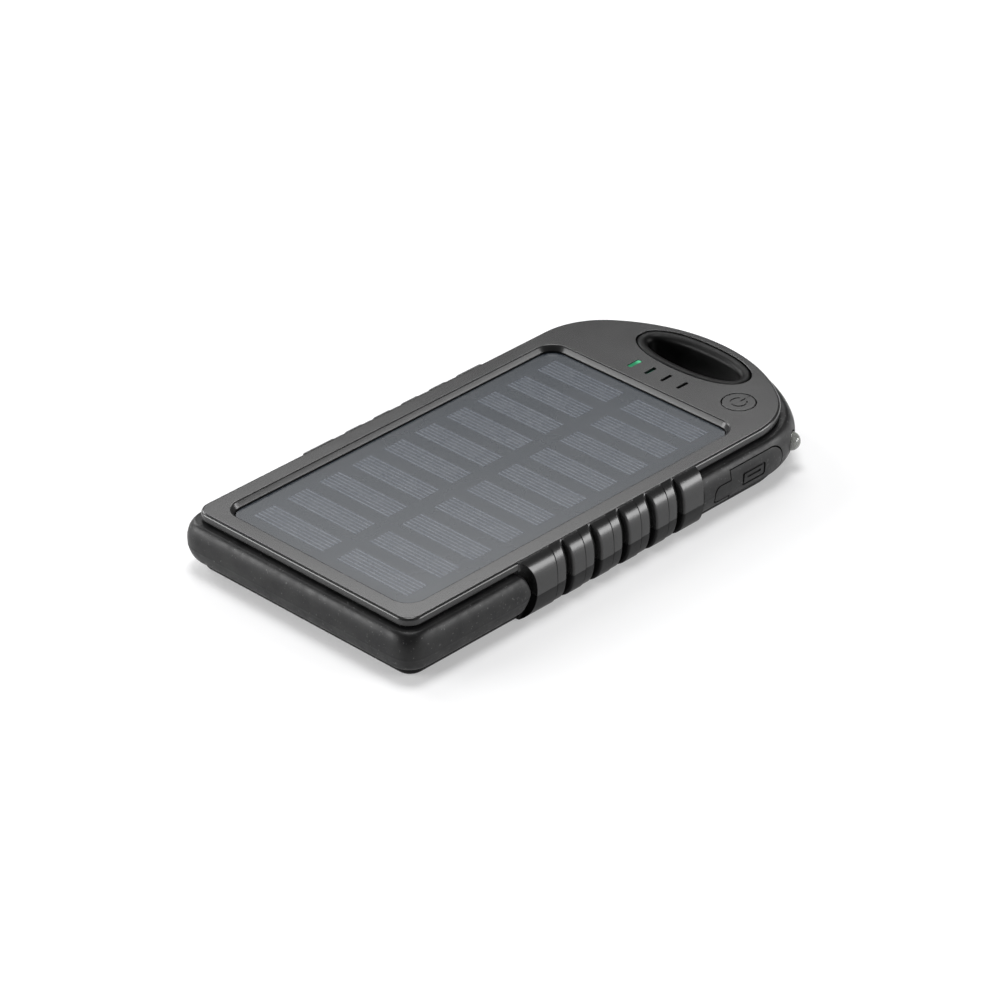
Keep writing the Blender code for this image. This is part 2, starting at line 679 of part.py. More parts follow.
def switch(finishes):
    """A small push switch under the button: a body with a bore, and the stem that slides in it."""
    base = INDICATOR_BOARD_Z[1] + 0.1
    body = solid_object("switch_body", box(BUTTON_X - SWITCH_HALF, BUTTON_X + SWITCH_HALF,
                                           BUTTON_Y - SWITCH_HALF, BUTTON_Y + SWITCH_HALF,
                                           base, base + SWITCH_HEIGHT), finishes["chip"])
    bore = disc(BUTTON_X, BUTTON_Y, STEM_RADIUS + 0.15, base + 0.4, base + SWITCH_HEIGHT + OVERSHOOT)
    cut(body, "switch_bore", bore)
    stem_low = base + 0.5 + BUTTON_TRAVEL
    stem = disc(BUTTON_X, BUTTON_Y, STEM_RADIUS, stem_low, STEM_TOP)
    solid_object("switch_stem", stem, finishes["led"], (BUTTON_X, BUTTON_Y, stem_low), True)


def indicators(finishes):
    base = INDICATOR_BOARD_Z[1] + 0.1
    for i in range(LED_COUNT):
        x = LED_FIRST_X + i * LED_PITCH
        half_x, half_y = LED_SLOT[0] / 2 - 0.1, LED_SLOT[1] / 2 - 0.1
        solid_object(f"status_led_{i + 1}", box(x - 0.8, x + 0.8, LED_Y - 0.8, LED_Y + 0.8, base, base + 0.7),
                     finishes["led"])
        solid_object(f"light_pipe_{i + 1}", box(x - half_x, x + half_x, LED_Y - half_y, LED_Y + half_y,
                                                base + 1.0, CASE_HEIGHT - 0.1), finishes["window"])


def torch_led(finish):
    dome = 5
    start = TORCH_TIP - TORCH_RADIUS - TORCH_BODY_LENGTH
    profile = [(0, start), (TORCH_RADIUS, start)]
    for i in range(dome):
        angle = 0.5 * pi * i / dome
        profile.append((TORCH_RADIUS * cos(angle), TORCH_TIP - TORCH_RADIUS + TORCH_RADIUS * sin(angle)))
    profile.append((0, TORCH_TIP))
    shape = aimed(revolve(profile, 18), (SHOULDER_X, SHOULDER_Y, TORCH_Z), torch_direction())
    solid_object("torch_led", shape, finish, round_piece=True)


# ---------------------------------------------------------------- electronics

def boards(finishes):
    side, (low, high) = MAIN_BOARD_HALF_WIDTH, MAIN_BOARD_Y
    cut_x, cut_y = side - 1.7, high - MAIN_BOARD_CUT
    outline = [(-side, low), (side, low), (side, cut_y), (cut_x, high), (-cut_x, high), (-side, cut_y)]
    main = solid_object("main_board", prism(outline, MAIN_BOARD_LOW, BOARD_TOP), finishes["circuit"])
    holes = [disc(x, y, BOARD_SCREW_HOLE + 0.2, MAIN_BOARD_LOW - OVERSHOOT, BOARD_TOP + OVERSHOOT, 12)
             for x, y in BOARD_SCREWS]
    cut(main, "board_holes", *holes)
    small = [(-12, 45.5), (31.0, 45.5), (29.0, 51.5), (25.8, 55.0), (19.6, 55.0), (19.0, 49.1), (-12, 49.1)]
    solid_object("indicator_board", prism(small, *INDICATOR_BOARD_Z), finishes["circuit"])
    chip = BOARD_TOP + 0.1
    solid_object("charge_chip", box(*CHIP, chip, chip + 1.2), finishes["chip"])


def socket(name, y, width, z0, height, depth, wall, finishes, tongue):
    """A metal port shell, open at its mouth, and the contact tongue inside it."""
    mouth, back, side = PORT_MOUTH_X, PORT_MOUTH_X - depth, width / 2
    outside = box(back, mouth, y - side, y + side, z0, z0 + height)
    inside = box(back + 1, mouth + OVERSHOOT, y - side + wall, y + side - wall, z0 + wall, z0 + height - wall)
    shell = solid_object(f"{name}_shell", outside, finishes["metal"])
    cut(shell, f"{name}_cavity", inside)
    half, low, high, reach = tongue
    contacts = box(back + 1.1, mouth - reach, y - half, y + half, z0 + low, z0 + high)
    solid_object(f"{name}_tongue", contacts, finishes["tongue"])


def ports(finishes):
    low = BOARD_TOP + 0.2
    socket("usb_a", USB_Y, 13.1, low, 5.7, 13.5, 0.35, finishes, (5.4, 3.0, 4.8, 1.5))
    socket("micro_usb", MICRO_Y, 7.4, low, 2.8, 5.0, 0.3, finishes, (2.2, 1.2, 1.8, 0.8))


def battery(finishes):
    pad_low, pad_high = FLOOR_TOP + FIT_GAP, FLOOR_TOP + 3 * FIT_GAP
    solid_object("battery_pad", box(*BATTERY_PAD, pad_low, pad_high), finishes["foam"])
    x0, x1, y0, y1 = BATTERY
    outline = rounded_rectangle(x0, y0, x1, y1, 2.0)
    solid_object("battery_cell", prism(outline, pad_high + FIT_GAP, BATTERY_TOP), finishes["pouch"])
    solid_object("battery_board", box(*BATTERY_BOARD, 5.0, 5.0 + BOARD_THICKNESS), finishes["circuit"])


def wire(name, route, finish):
    """An insulated lead along a smooth route: a Catmull-Rom curve through the points."""
    points = [Vector(p) for p in route]
    padded = [2 * points[0] - points[1]] + points + [2 * points[-1] - points[-2]]
    path = []
    for a, b, c, d in zip(padded, padded[1:], padded[2:], padded[3:]):
        for i in range(4):
            t = i / 4
            path.append(0.5 * (2 * b + (c - a) * t + (2 * a - 5 * b + 4 * c - d) * t ** 2
                               + (3 * b - a - 3 * c + d) * t ** 3))
    path.append(points[-1])
    curve = bpy.data.curves.new(name, "CURVE")
    curve.dimensions = "3D"
    curve.bevel_depth = WIRE_RADIUS * MM
    curve.bevel_resolution = 2
    curve.use_fill_caps = True
    spline = curve.splines.new("POLY")
    spline.points.add(len(path) - 1)
    for target, point in zip(spline.points, path):
        target.co = (*(point * MM), 1)
    curve.materials.append(finish)
    bpy.context.scene.collection.objects.link(bpy.data.objects.new(name, curve))


def wires(finishes):
    board = BOARD_TOP + 0.2
    for name, x, finish in (("pos", 0.0, "wire_red"), ("neg", 3.0, "wire_black")):
        wire(f"panel_wire_{name}", [(x, 34, PANEL_LEDGE - 0.1), (x, 34, 9.6), (x - 0.6, 35, 7.2),
                                    (x - 1.0, 36, 5.4), (x - 1.0, 36.2, board)], finishes[finish])
        start = BATTERY_BOARD[3] + FIT_GAP
        wire(f"battery_wire_{name}", [(x - 10, start, 5.4), (x - 10, 22.6, 5.6), (x - 10, 24.6, 6.4),
                                      (x - 10, 26.6, 5.8), (x - 10, 27.2, board)], finishes[finish])


# ---------------------------------------------------------------- fasteners

def screws(finishes):
    for i, (x, y) in enumerate(COVER_SCREWS):
        shape = revolve([(0, 1.1), (0.7, 1.1), (0.9, 0.6), (1.75, 0.6), (1.75, 1.9), (1.0, 1.9), (1.0, 9.6),
                         (0, 10.2)], 16)
        solid_object(f"cover_screw_{i + 1}", moved(shape, (x, y, 0)), finishes["steel"], round_piece=True)
    for i, (x, y) in enumerate(BOARD_SCREWS):
        shape = revolve([(0, 1.5), (0.7, 2.0), (0.7, BOARD_TOP + 0.1), (1.6, BOARD_TOP + 0.1),
                         (1.6, BOARD_TOP + 0.7), (0.8, BOARD_TOP + 1.0), (0, BOARD_TOP + 1.0)], 12)
        solid_object(f"board_screw_{i + 1}", moved(shape, (x, y, 0)), finishes["steel"], round_piece=True)


def main():
    for item in list(bpy.context.scene.objects):
        bpy.data.objects.remove(item, do_unlink=True)
    finishes = make_materials()
    front_cover(finishes["case"])
    back_cover(finishes["case"])
    bumper_bottom(finishes["rubber"])
    bumper_top(finishes["rubber"])
    usb_flap(finishes["rubber"])
    loop_liner(finishes["rubber"])
    solar_panel(finishes)
    power_button(finishes["case"])
    switch(finishes)
    indicators(finishes)
    torch_led(finishes["torch"])
    boards(finishes)
    ports(finishes)
    battery(finishes)
    wires(finishes)
    screws(finishes)


main()
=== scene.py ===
from math import atan2, cos, pi, radians, sin, sqrt

import bmesh
import bpy
from mathutils import Matrix, Vector


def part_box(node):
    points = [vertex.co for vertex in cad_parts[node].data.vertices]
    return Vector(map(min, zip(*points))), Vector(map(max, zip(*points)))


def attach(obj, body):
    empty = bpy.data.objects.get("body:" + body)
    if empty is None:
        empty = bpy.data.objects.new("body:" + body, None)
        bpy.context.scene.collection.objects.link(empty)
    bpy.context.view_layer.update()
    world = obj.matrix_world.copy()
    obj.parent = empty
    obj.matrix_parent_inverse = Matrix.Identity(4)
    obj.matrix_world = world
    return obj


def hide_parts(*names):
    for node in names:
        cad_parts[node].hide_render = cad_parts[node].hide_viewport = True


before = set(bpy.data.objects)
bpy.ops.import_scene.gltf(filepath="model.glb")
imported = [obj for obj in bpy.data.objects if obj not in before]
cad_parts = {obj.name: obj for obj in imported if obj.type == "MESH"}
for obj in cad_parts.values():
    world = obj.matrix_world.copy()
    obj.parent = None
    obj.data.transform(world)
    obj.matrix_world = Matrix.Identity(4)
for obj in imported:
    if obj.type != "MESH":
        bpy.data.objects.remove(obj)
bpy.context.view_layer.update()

MM = 0.001


def node_box(name):
    low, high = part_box(name)
    return [c / MM for c in low], [c / MM for c in high]


# ---------------------------------------------------------------- measures taken from the frame

COVER_LOW, COVER_HIGH = node_box("front_cover")
BACK_LOW, BACK_HIGH = node_box("back_cover")
FILM_LOW, FILM_HIGH = node_box("panel_film")
LINER_LOW, LINER_HIGH = node_box("loop_liner")
BUTTON_LOW, BUTTON_HIGH = node_box("power_button")
BOTTOM_LOW, BOTTOM_HIGH = node_box("bumper_bottom")
TOP_LOW, TOP_HIGH = node_box("bumper_top")
FLAP_LOW, FLAP_HIGH = node_box("usb_flap")

BUMPER_BULGE = 2.8
FIT_GAP = 0.3
HALF_WIDTH = BOTTOM_HIGH[0] - BUMPER_BULGE
HALF_LENGTH = COVER_HIGH[1]
TOP = COVER_HIGH[2]
PARTING = (COVER_LOW[2] + BACK_HIGH[2]) / 2
CORNER_RADIUS = 4.0
ARCH_RADIUS = 44.0
SHOULDER_RADIUS = 19.6
SHOULDER_X = HALF_WIDTH - SHOULDER_RADIUS
ARCH_Y = HALF_LENGTH - ARCH_RADIUS
SHOULDER_Y = ARCH_Y + sqrt((ARCH_RADIUS - SHOULDER_RADIUS) ** 2 - SHOULDER_X ** 2)
SHOULDER_TURN = atan2(SHOULDER_Y - ARCH_Y, SHOULDER_X)
CORNER_X = HALF_WIDTH - CORNER_RADIUS
CORNER_Y = CORNER_RADIUS - HALF_LENGTH

PLATE_BOTTOM = 13.0
PLATE_EDGE = 0.75
FLOOR_RIM = 2.2
FLOOR_TOP = 1.8
CEILING = 10.8
ARCH_CEILING = 13.2
ARCH_CAVITY_START = 45.2
CORE_OFFSET = -1.2
CAVITY_OFFSET = -2.6

PANEL_GAP = 0.25
BEVEL_RUN = 0.8
BEVEL_FOOT = 1.20            # depth at which the bevel turns into a plain wall
FILM_TOP = FILM_HIGH[2]
PANEL_LEDGE = 11.7
PANEL_RADIUS = 4.8
PANEL_X = FILM_HIGH[0] + PANEL_GAP + BEVEL_RUN
PANEL_LOW_Y = FILM_LOW[1] - PANEL_GAP - BEVEL_RUN
PANEL_HIGH_Y = FILM_HIGH[1] + PANEL_GAP + BEVEL_RUN

BUMPER_LOW, BUMPER_HIGH = BOTTOM_LOW[2], BOTTOM_HIGH[2]
BUMPER_MIDDLE = (BUMPER_LOW + BUMPER_HIGH) / 2
BUMPER_EDGE = 0.9
BUMPER_CORNER = 0.7
BUMPER_ROOT = -0.9
MOULD_LINE = 6.2
NOSE_LENGTH = 3.1
NOSE_START = BOTTOM_HIGH[1] - NOSE_LENGTH * sin(radians(78))

GRIP_START = -35.4
GRIP_END = TOP_LOW[1] - FIT_GAP
NOTCH_COUNT = 5
NOTCH_PITCH = 9.13
NOTCH_LINE_Y = -25.8         # where the first notch begins, with a fine line
NOTCH_WALL_Y = -21.5         # where it ends against the next rib, at the ribs' top edge
NOTCH_BOW = 0.7              # how far that wall bows towards +Y at half height
NOTCH_LINE = 0.45
NOTCH_FACET = 0.25
NOTCH_DEPTH = 1.9
GROOVE_WIDTH = 1.5
RIB_TOP = TOP - 0.02
RIB_EDGE = -0.7
RIB_BULGE = 2.8
RIB_POWER = 2.5              # 2 would be a half ellipse
POCKET_DEPTH = 3.2
POCKET_HALF_HEIGHT = 7.3

LOOP_Y = (LINER_LOW[1] + LINER_HIGH[1]) / 2
LOOP_X = LINER_HIGH[0] + FIT_GAP
LOOP_HALF_Y = (LINER_HIGH[1] - LINER_LOW[1]) / 2 + FIT_GAP
LOOP_POWER = 2.2
LOOP_WALL = 0.95
LINER_THICKNESS = 2.7

BUTTON_X = (BUTTON_LOW[0] + BUTTON_HIGH[0]) / 2
BUTTON_Y = (BUTTON_LOW[1] + BUTTON_HIGH[1]) / 2
BUTTON_RADIUS = (BUTTON_HIGH[0] - BUTTON_LOW[0]) / 2
BUTTON_GAP = 0.25

TORCH_ANGLE = radians(32)
TORCH_Z = 7.0
TORCH_RADIUS = 2.3
TORCH_TIP = 24.75

FLAP_LOW_Y = FLAP_LOW[1] - FIT_GAP
FLAP_STEP_Y = 31.7
FLAP_HIGH_Y = 50.1
FLAP_TALL = (FLAP_LOW[2] - FIT_GAP, FLAP_HIGH[2] + FIT_GAP)
FLAP_NARROW = (3.9, 8.4)
FLAP_GAP = 0.28
FLAP_ROUND = 1.8
FLAP_END_ROUND = 4.0
FLAP_WALL = 2.0              # the flap's outside, measured out from the plate's outline
FLAP_BOSS_X = 33.8
BIG_BOSS = (36.9, 47.5, 5.3, 8.9)        # (y0, y1, z0, z1) of the flap's seal in the big port
SMALL_BOSS = (28.9, 34.1, 4.9, 6.6)
NO_END = 99.0                # a distance so large that an end's rounding doesn't reach

PORT_X = (30.0, 36.5)
PORT_HIGH_Y = 49.3
PORT_Z = (3.8, 10.3)
WIRE_SLOT = (-8, 8, 30, 38)
TORCH_HOLE_RADIUS = 2.6
TORCH_RUBBER_HOLE_RADIUS = 2.75
TORCH_CUP_GAP = 1.3

BOSS_RADIUS = 2.4
SCREW_HOLE_RADIUS = 1.3
HEAD_HOLE_RADIUS = 2.05
POST_RADIUS = 2.0
POST_TOP = 2.8
POST_HOLE_RADIUS = 1.0
SCREW_HEAD_RADIUS = 1.75
SCREW_HEAD_FACE = 0.6
SCREW_HEAD_EDGE = 0.35
BACK_RECESS = (-24, -40, 24, 14)
BACK_RECESS_RADIUS = 3
BACK_RECESS_DEPTH = 0.25

POWER_MARK_OUTER = 2.15
POWER_MARK_INNER = 1.75
POWER_MARK_DEPTH = 0.2
COVER_SCREWS = [f"cover_screw_{i}" for i in (1, 2, 3, 4)]
LIGHT_PIPES = [f"light_pipe_{i}" for i in (1, 2, 3, 4)]
WINDOW_GROW = (0.25, 0.05, 0.0, 0.0)
HOT_SPOT = 0.6
CELLS = [f"solar_cell_{i:02d}" for i in range(1, 21)]
FINGER_COUNT = 6
FINGER_WIDTH = 0.34


# ---------------------------------------------------------------- outlines

def arc(centre, radius, start, end, steps):
    """Points on an arc, both ends included."""
    angles = [start + (end - start) * i / steps for i in range(steps + 1)]
    return [(centre[0] + radius * cos(a), centre[1] + radius * sin(a)) for a in angles]


def circle(x, y, radius, steps=48):
    return arc((x, y), radius, 0, 2 * pi, steps)[:-1]


def plan(offset):
    """The plate's outline, grown by offset, counter-clockwise from the right shoulder."""
    shoulder, corner = SHOULDER_RADIUS + offset, CORNER_RADIUS + offset
    right = arc((SHOULDER_X, SHOULDER_Y), shoulder, 0, SHOULDER_TURN, 18)
    arch = arc((0, ARCH_Y), ARCH_RADIUS + offset, SHOULDER_TURN, pi - SHOULDER_TURN, 36)[1:-1]
    left = arc((-SHOULDER_X, SHOULDER_Y), shoulder, pi - SHOULDER_TURN, pi, 18)
    low_left = arc((-CORNER_X, CORNER_Y), corner, pi, 1.5 * pi, 12)
    low_right = arc((CORNER_X, CORNER_Y), corner, 1.5 * pi, 2 * pi, 12)
    return right + arch + left + low_left + low_right


def rounded_rectangle(x0, y0, x1, y1, radius, steps=8):
    corners = (((x1 - radius, y1 - radius), 0), ((x0 + radius, y1 - radius), 0.5 * pi),
               ((x0 + radius, y0 + radius), pi), ((x1 - radius, y0 + radius), 1.5 * pi))
    points = []
    for centre, start in corners:
        points += arc(centre, radius, start, start + 0.5 * pi, steps)
    return points


def panel_outline(inset):
    return rounded_rectangle(inset - PANEL_X, PANEL_LOW_Y + inset, PANEL_X - inset, PANEL_HIGH_Y - inset,
                             PANEL_RADIUS - inset)


def window_outline(number, name, inset):
    """An indicator's outline; the lit one looks wider than its light pipe."""
    (x0, y0, _), (x1, y1, _) = node_box(name)
    inset -= WINDOW_GROW[number]
    return rounded_rectangle(x0 + inset, y0 + inset, x1 - inset, y1 - inset, 0.25 - inset / 2, 3)


def loop_outline(inset, count=96):
    """The carabiner hole's oval (a superellipse), made smaller by inset."""
    points = []
    for i in range(count):
        c, s = cos(2 * pi * i / count), sin(2 * pi * i / count)
        x = (LOOP_X - inset) * abs(c) ** (2 / LOOP_POWER) * (1 if c >= 0 else -1)
        y = (LOOP_HALF_Y - inset) * abs(s) ** (2 / LOOP_POWER) * (1 if s >= 0 else -1)
        points.append((x, LOOP_Y + y))
    return points


def quarter(steps=4):
    """(sine, cosine) pairs of a quarter turn, for rounding an edge."""
    return [(sin(0.5 * pi * i / steps), cos(0.5 * pi * i / steps)) for i in range(steps + 1)]


# ---------------------------------------------------------------- solids as (points, faces)

def stack(levels):
    """A closed solid through a pile of outlines, given from the bottom up as (outline, z)."""
    count = len(levels[0][0])
    points = [(x, y, z) for outline, z in levels for x, y in outline]
    faces = [tuple(reversed(range(count)))]
    for level in range(len(levels) - 1):
        low = level * count
        for i in range(count):
            j = (i + 1) % count
            faces.append((low + i, low + j, low + count + j, low + count + i))
    top = (len(levels) - 1) * count
    faces.append(tuple(range(top, top + count)))
    return points, faces


def prism(outline, z0, z1):
    return stack([(outline, z0), (outline, z1)])


def box(x0, x1, y0, y1, z0, z1):
    return prism([(x0, y0), (x1, y0), (x1, y1), (x0, y1)], z0, z1)


def flared(outline, z0, top, radius):
    """A cutter whose mouth at the top is rounded outwards; outline is a function of the inset."""
    levels = [(outline(0), z0)]
    levels += [(outline(-radius * (1 - c)), top - radius * (1 - s)) for s, c in quarter()]
    return stack(levels + [(outline(-radius), top + 1)])


def sweep(stations, profiles, closed=False):
    """A solid through one closed profile of (offset, z) per station (x, y, nx, ny)."""
    count = len(profiles[0])
    points = []
    for (x, y, nx, ny), profile in zip(stations, profiles):
        points += [(x + nx * offset, y + ny * offset, z) for offset, z in profile]
    faces = []
    for station in range(len(stations) if closed else len(stations) - 1):
        low, high = station * count, (station + 1) % len(stations) * count
        for i in range(count):
            j = (i + 1) % count
            faces.append((low + i, high + i, high + j, low + j))
    if not closed:
        last = (len(stations) - 1) * count
        faces += [tuple(range(count)), tuple(reversed(range(last, last + count)))]
    return points, faces


def revolve(profile, steps=48):
    """A closed solid of revolution about Z from (radius, z) pairs that start and end on the axis."""
    points = [(0, 0, profile[0][1])]
    for radius, z in profile[1:-1]:
        points += [(x, y, z) for x, y in circle(0, 0, radius, steps)]
    points.append((0, 0, profile[-1][1]))
    rings = len(profile) - 2
    faces = [(0, 1 + (i + 1) % steps, 1 + i) for i in range(steps)]
    for ring in range(rings - 1):
        low = 1 + ring * steps
        for i in range(steps):
            j = (i + 1) % steps
            faces.append((low + i, low + j, low + steps + j, low + steps + i))
    low = 1 + (rings - 1) * steps
    faces += [(low + i, low + (i + 1) % steps, len(points) - 1) for i in range(steps)]
    return points, faces


def moved(solid, shift):
    points, faces = solid
    return [tuple(a + b for a, b in zip(p, shift)) for p in points], faces


def aimed(solid, centre, direction):
    """Turns a solid made about Z so that its axis lies level along direction, at centre."""
    points, faces = solid
    aim = Vector((0, 0, 1)).rotation_difference(Vector((*direction, 0)))
    return [tuple(aim @ Vector(p) + Vector(centre)) for p in points], faces


def combined(*solids):
    points, faces = [], []
    for solid_points, solid_faces in solids:
        first = len(points)
        points += solid_points
        faces += [tuple(first + i for i in face) for face in solid_faces]
    return points, faces


# ---------------------------------------------------------------- objects

def mesh_object(name, solid):
    points, faces = solid
    mesh = bpy.data.meshes.new(name)
    mesh.from_pydata([tuple(c * MM for c in p) for p in points], [], faces)
    body = bmesh.new()
    body.from_mesh(mesh)
    bmesh.ops.recalc_face_normals(body, faces=body.faces)
    body.to_mesh(mesh)
    body.free()
    result = bpy.data.objects.new(name, mesh)
    bpy.context.scene.collection.objects.link(result)
    return result


def shaped(target, steps):
    """Applies (operation, solid) steps to the target with exact Booleans."""
    tools = []
    for number, (operation, solid) in enumerate(steps):
        tool = mesh_object(f"{target.name}_tool_{number}", solid)
        modifier = target.modifiers.new(tool.name, "BOOLEAN")
        modifier.operation = operation
        modifier.object = tool
        modifier.solver = "EXACT"
        tools.append(tool)
    depsgraph = bpy.context.evaluated_depsgraph_get()
    mesh = bpy.data.meshes.new_from_object(target.evaluated_get(depsgraph))
    target.modifiers.clear()
    target.data = mesh
    for tool in tools:
        bpy.data.objects.remove(tool)
    return target


def finished(piece, material, body="case", stands_for=(), angle=35, flat_weight=True):
    """Gives a piece its material and shading and makes it ride on its CAD body."""
    mesh = piece.data
    mesh.materials.clear()
    mesh.materials.append(material)
    mesh.shade_smooth()
    mesh.set_sharp_from_angle(angle=radians(angle))
    if flat_weight:
        weights = piece.modifiers.new("flat_faces", "WEIGHTED_NORMAL")
        weights.keep_sharp = True
    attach(piece, body)
    if stands_for:
        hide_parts(*stands_for)
    return piece


# ---------------------------------------------------------------- materials

def noise(tree, coordinates, size, detail=3.0):
    """A noise texture whose features are about size millimetres across."""
    texture = tree.nodes.new("ShaderNodeTexNoise")
    texture.inputs["Scale"].default_value = 1 / (size * MM)
    texture.inputs["Detail"].default_value = detail
    tree.links.new(coordinates, texture.inputs["Vector"])
    return texture.outputs["Fac"]


def ranged(tree, value, low, high, to_low, to_high):
    node = tree.nodes.new("ShaderNodeMapRange")
    for socket, number in zip(("From Min", "From Max", "To Min", "To Max"), (low, high, to_low, to_high)):
        node.inputs[socket].default_value = number
    tree.links.new(value, node.inputs["Value"])
    return node.outputs["Result"]


def mixed(tree, factor, first, second):
    """A colour between two colours, each a tuple or a socket."""
    node = tree.nodes.new("ShaderNodeMix")
    node.data_type = "RGBA"
    tree.links.new(factor, node.inputs[0])
    for socket, colour in ((node.inputs[6], first), (node.inputs[7], second)):
        if isinstance(colour, tuple):
            socket.default_value = (*colour, 1.0)
        else:
            tree.links.new(colour, socket)
    return node.outputs[2]


def surface(name, dark, light, roughness, mottle=12.0, grain=0.35, relief=0.02, specks=None, **constants):
    """A Principled material with mottled colour, uneven roughness and a fine grain.

    dark and light are the ends of the mottling, roughness is (low, high), relief is the grain's
    height in millimetres, and specks is (size, share, colour) of scattered dust.
    """
    material = bpy.data.materials.new(name)
    material.use_nodes = True
    tree = material.node_tree
    shader = tree.nodes["Principled BSDF"]
    coordinates = tree.nodes.new("ShaderNodeTexCoord").outputs["Object"]
    broad = noise(tree, coordinates, mottle, 5.0)
    fine = noise(tree, coordinates, grain, 3.0)
    colour = mixed(tree, ranged(tree, broad, 0.35, 0.65, 0.0, 1.0), dark, light)
    if specks:
        size, share, tint = specks
        dust = ranged(tree, noise(tree, coordinates, size, 2.0), share, share + 0.05, 0.0, 1.0)
        colour = mixed(tree, dust, colour, tint)
    tree.links.new(colour, shader.inputs["Base Color"])
    smudge = noise(tree, coordinates, mottle * 0.45, 4.0)
    tree.links.new(ranged(tree, smudge, 0.3, 0.7, *roughness), shader.inputs["Roughness"])
    if relief:
        bump = tree.nodes.new("ShaderNodeBump")
        bump.inputs["Strength"].default_value = 1.0
        bump.inputs["Distance"].default_value = relief * MM
        tree.links.new(fine, bump.inputs["Height"])
        tree.links.new(bump.outputs["Normal"], shader.inputs["Normal"])
    for socket, value in constants.items():
        shader.inputs[socket.replace("_", " ")].default_value = value
    return material


def glowing(name, y0, y1):
    """The lit window's green plastic: deep green at its low end, with the LED's hot spot at the other."""
    material = surface(name, (0.0, 0.07, 0.03), (0.005, 0.12, 0.055), (0.30, 0.38), mottle=1.5, grain=0.3,
                       relief=0.004, Specular_IOR_Level=0.12, Emission_Strength=1.0)
    tree = material.node_tree
    place = tree.nodes.new("ShaderNodeSeparateXYZ")
    tree.links.new(tree.nodes.new("ShaderNodeTexCoord").outputs["Object"], place.inputs[0])
    heat = ranged(tree, place.outputs["Y"], (y0 + HOT_SPOT * (y1 - y0)) * MM, y1 * MM, 0.0, 1.0)
    light = mixed(tree, heat, (0.0, 0.11, 0.04), (0.11, 0.56, 0.29))
    tree.links.new(light, tree.nodes["Principled BSDF"].inputs["Emission Color"])
    return material


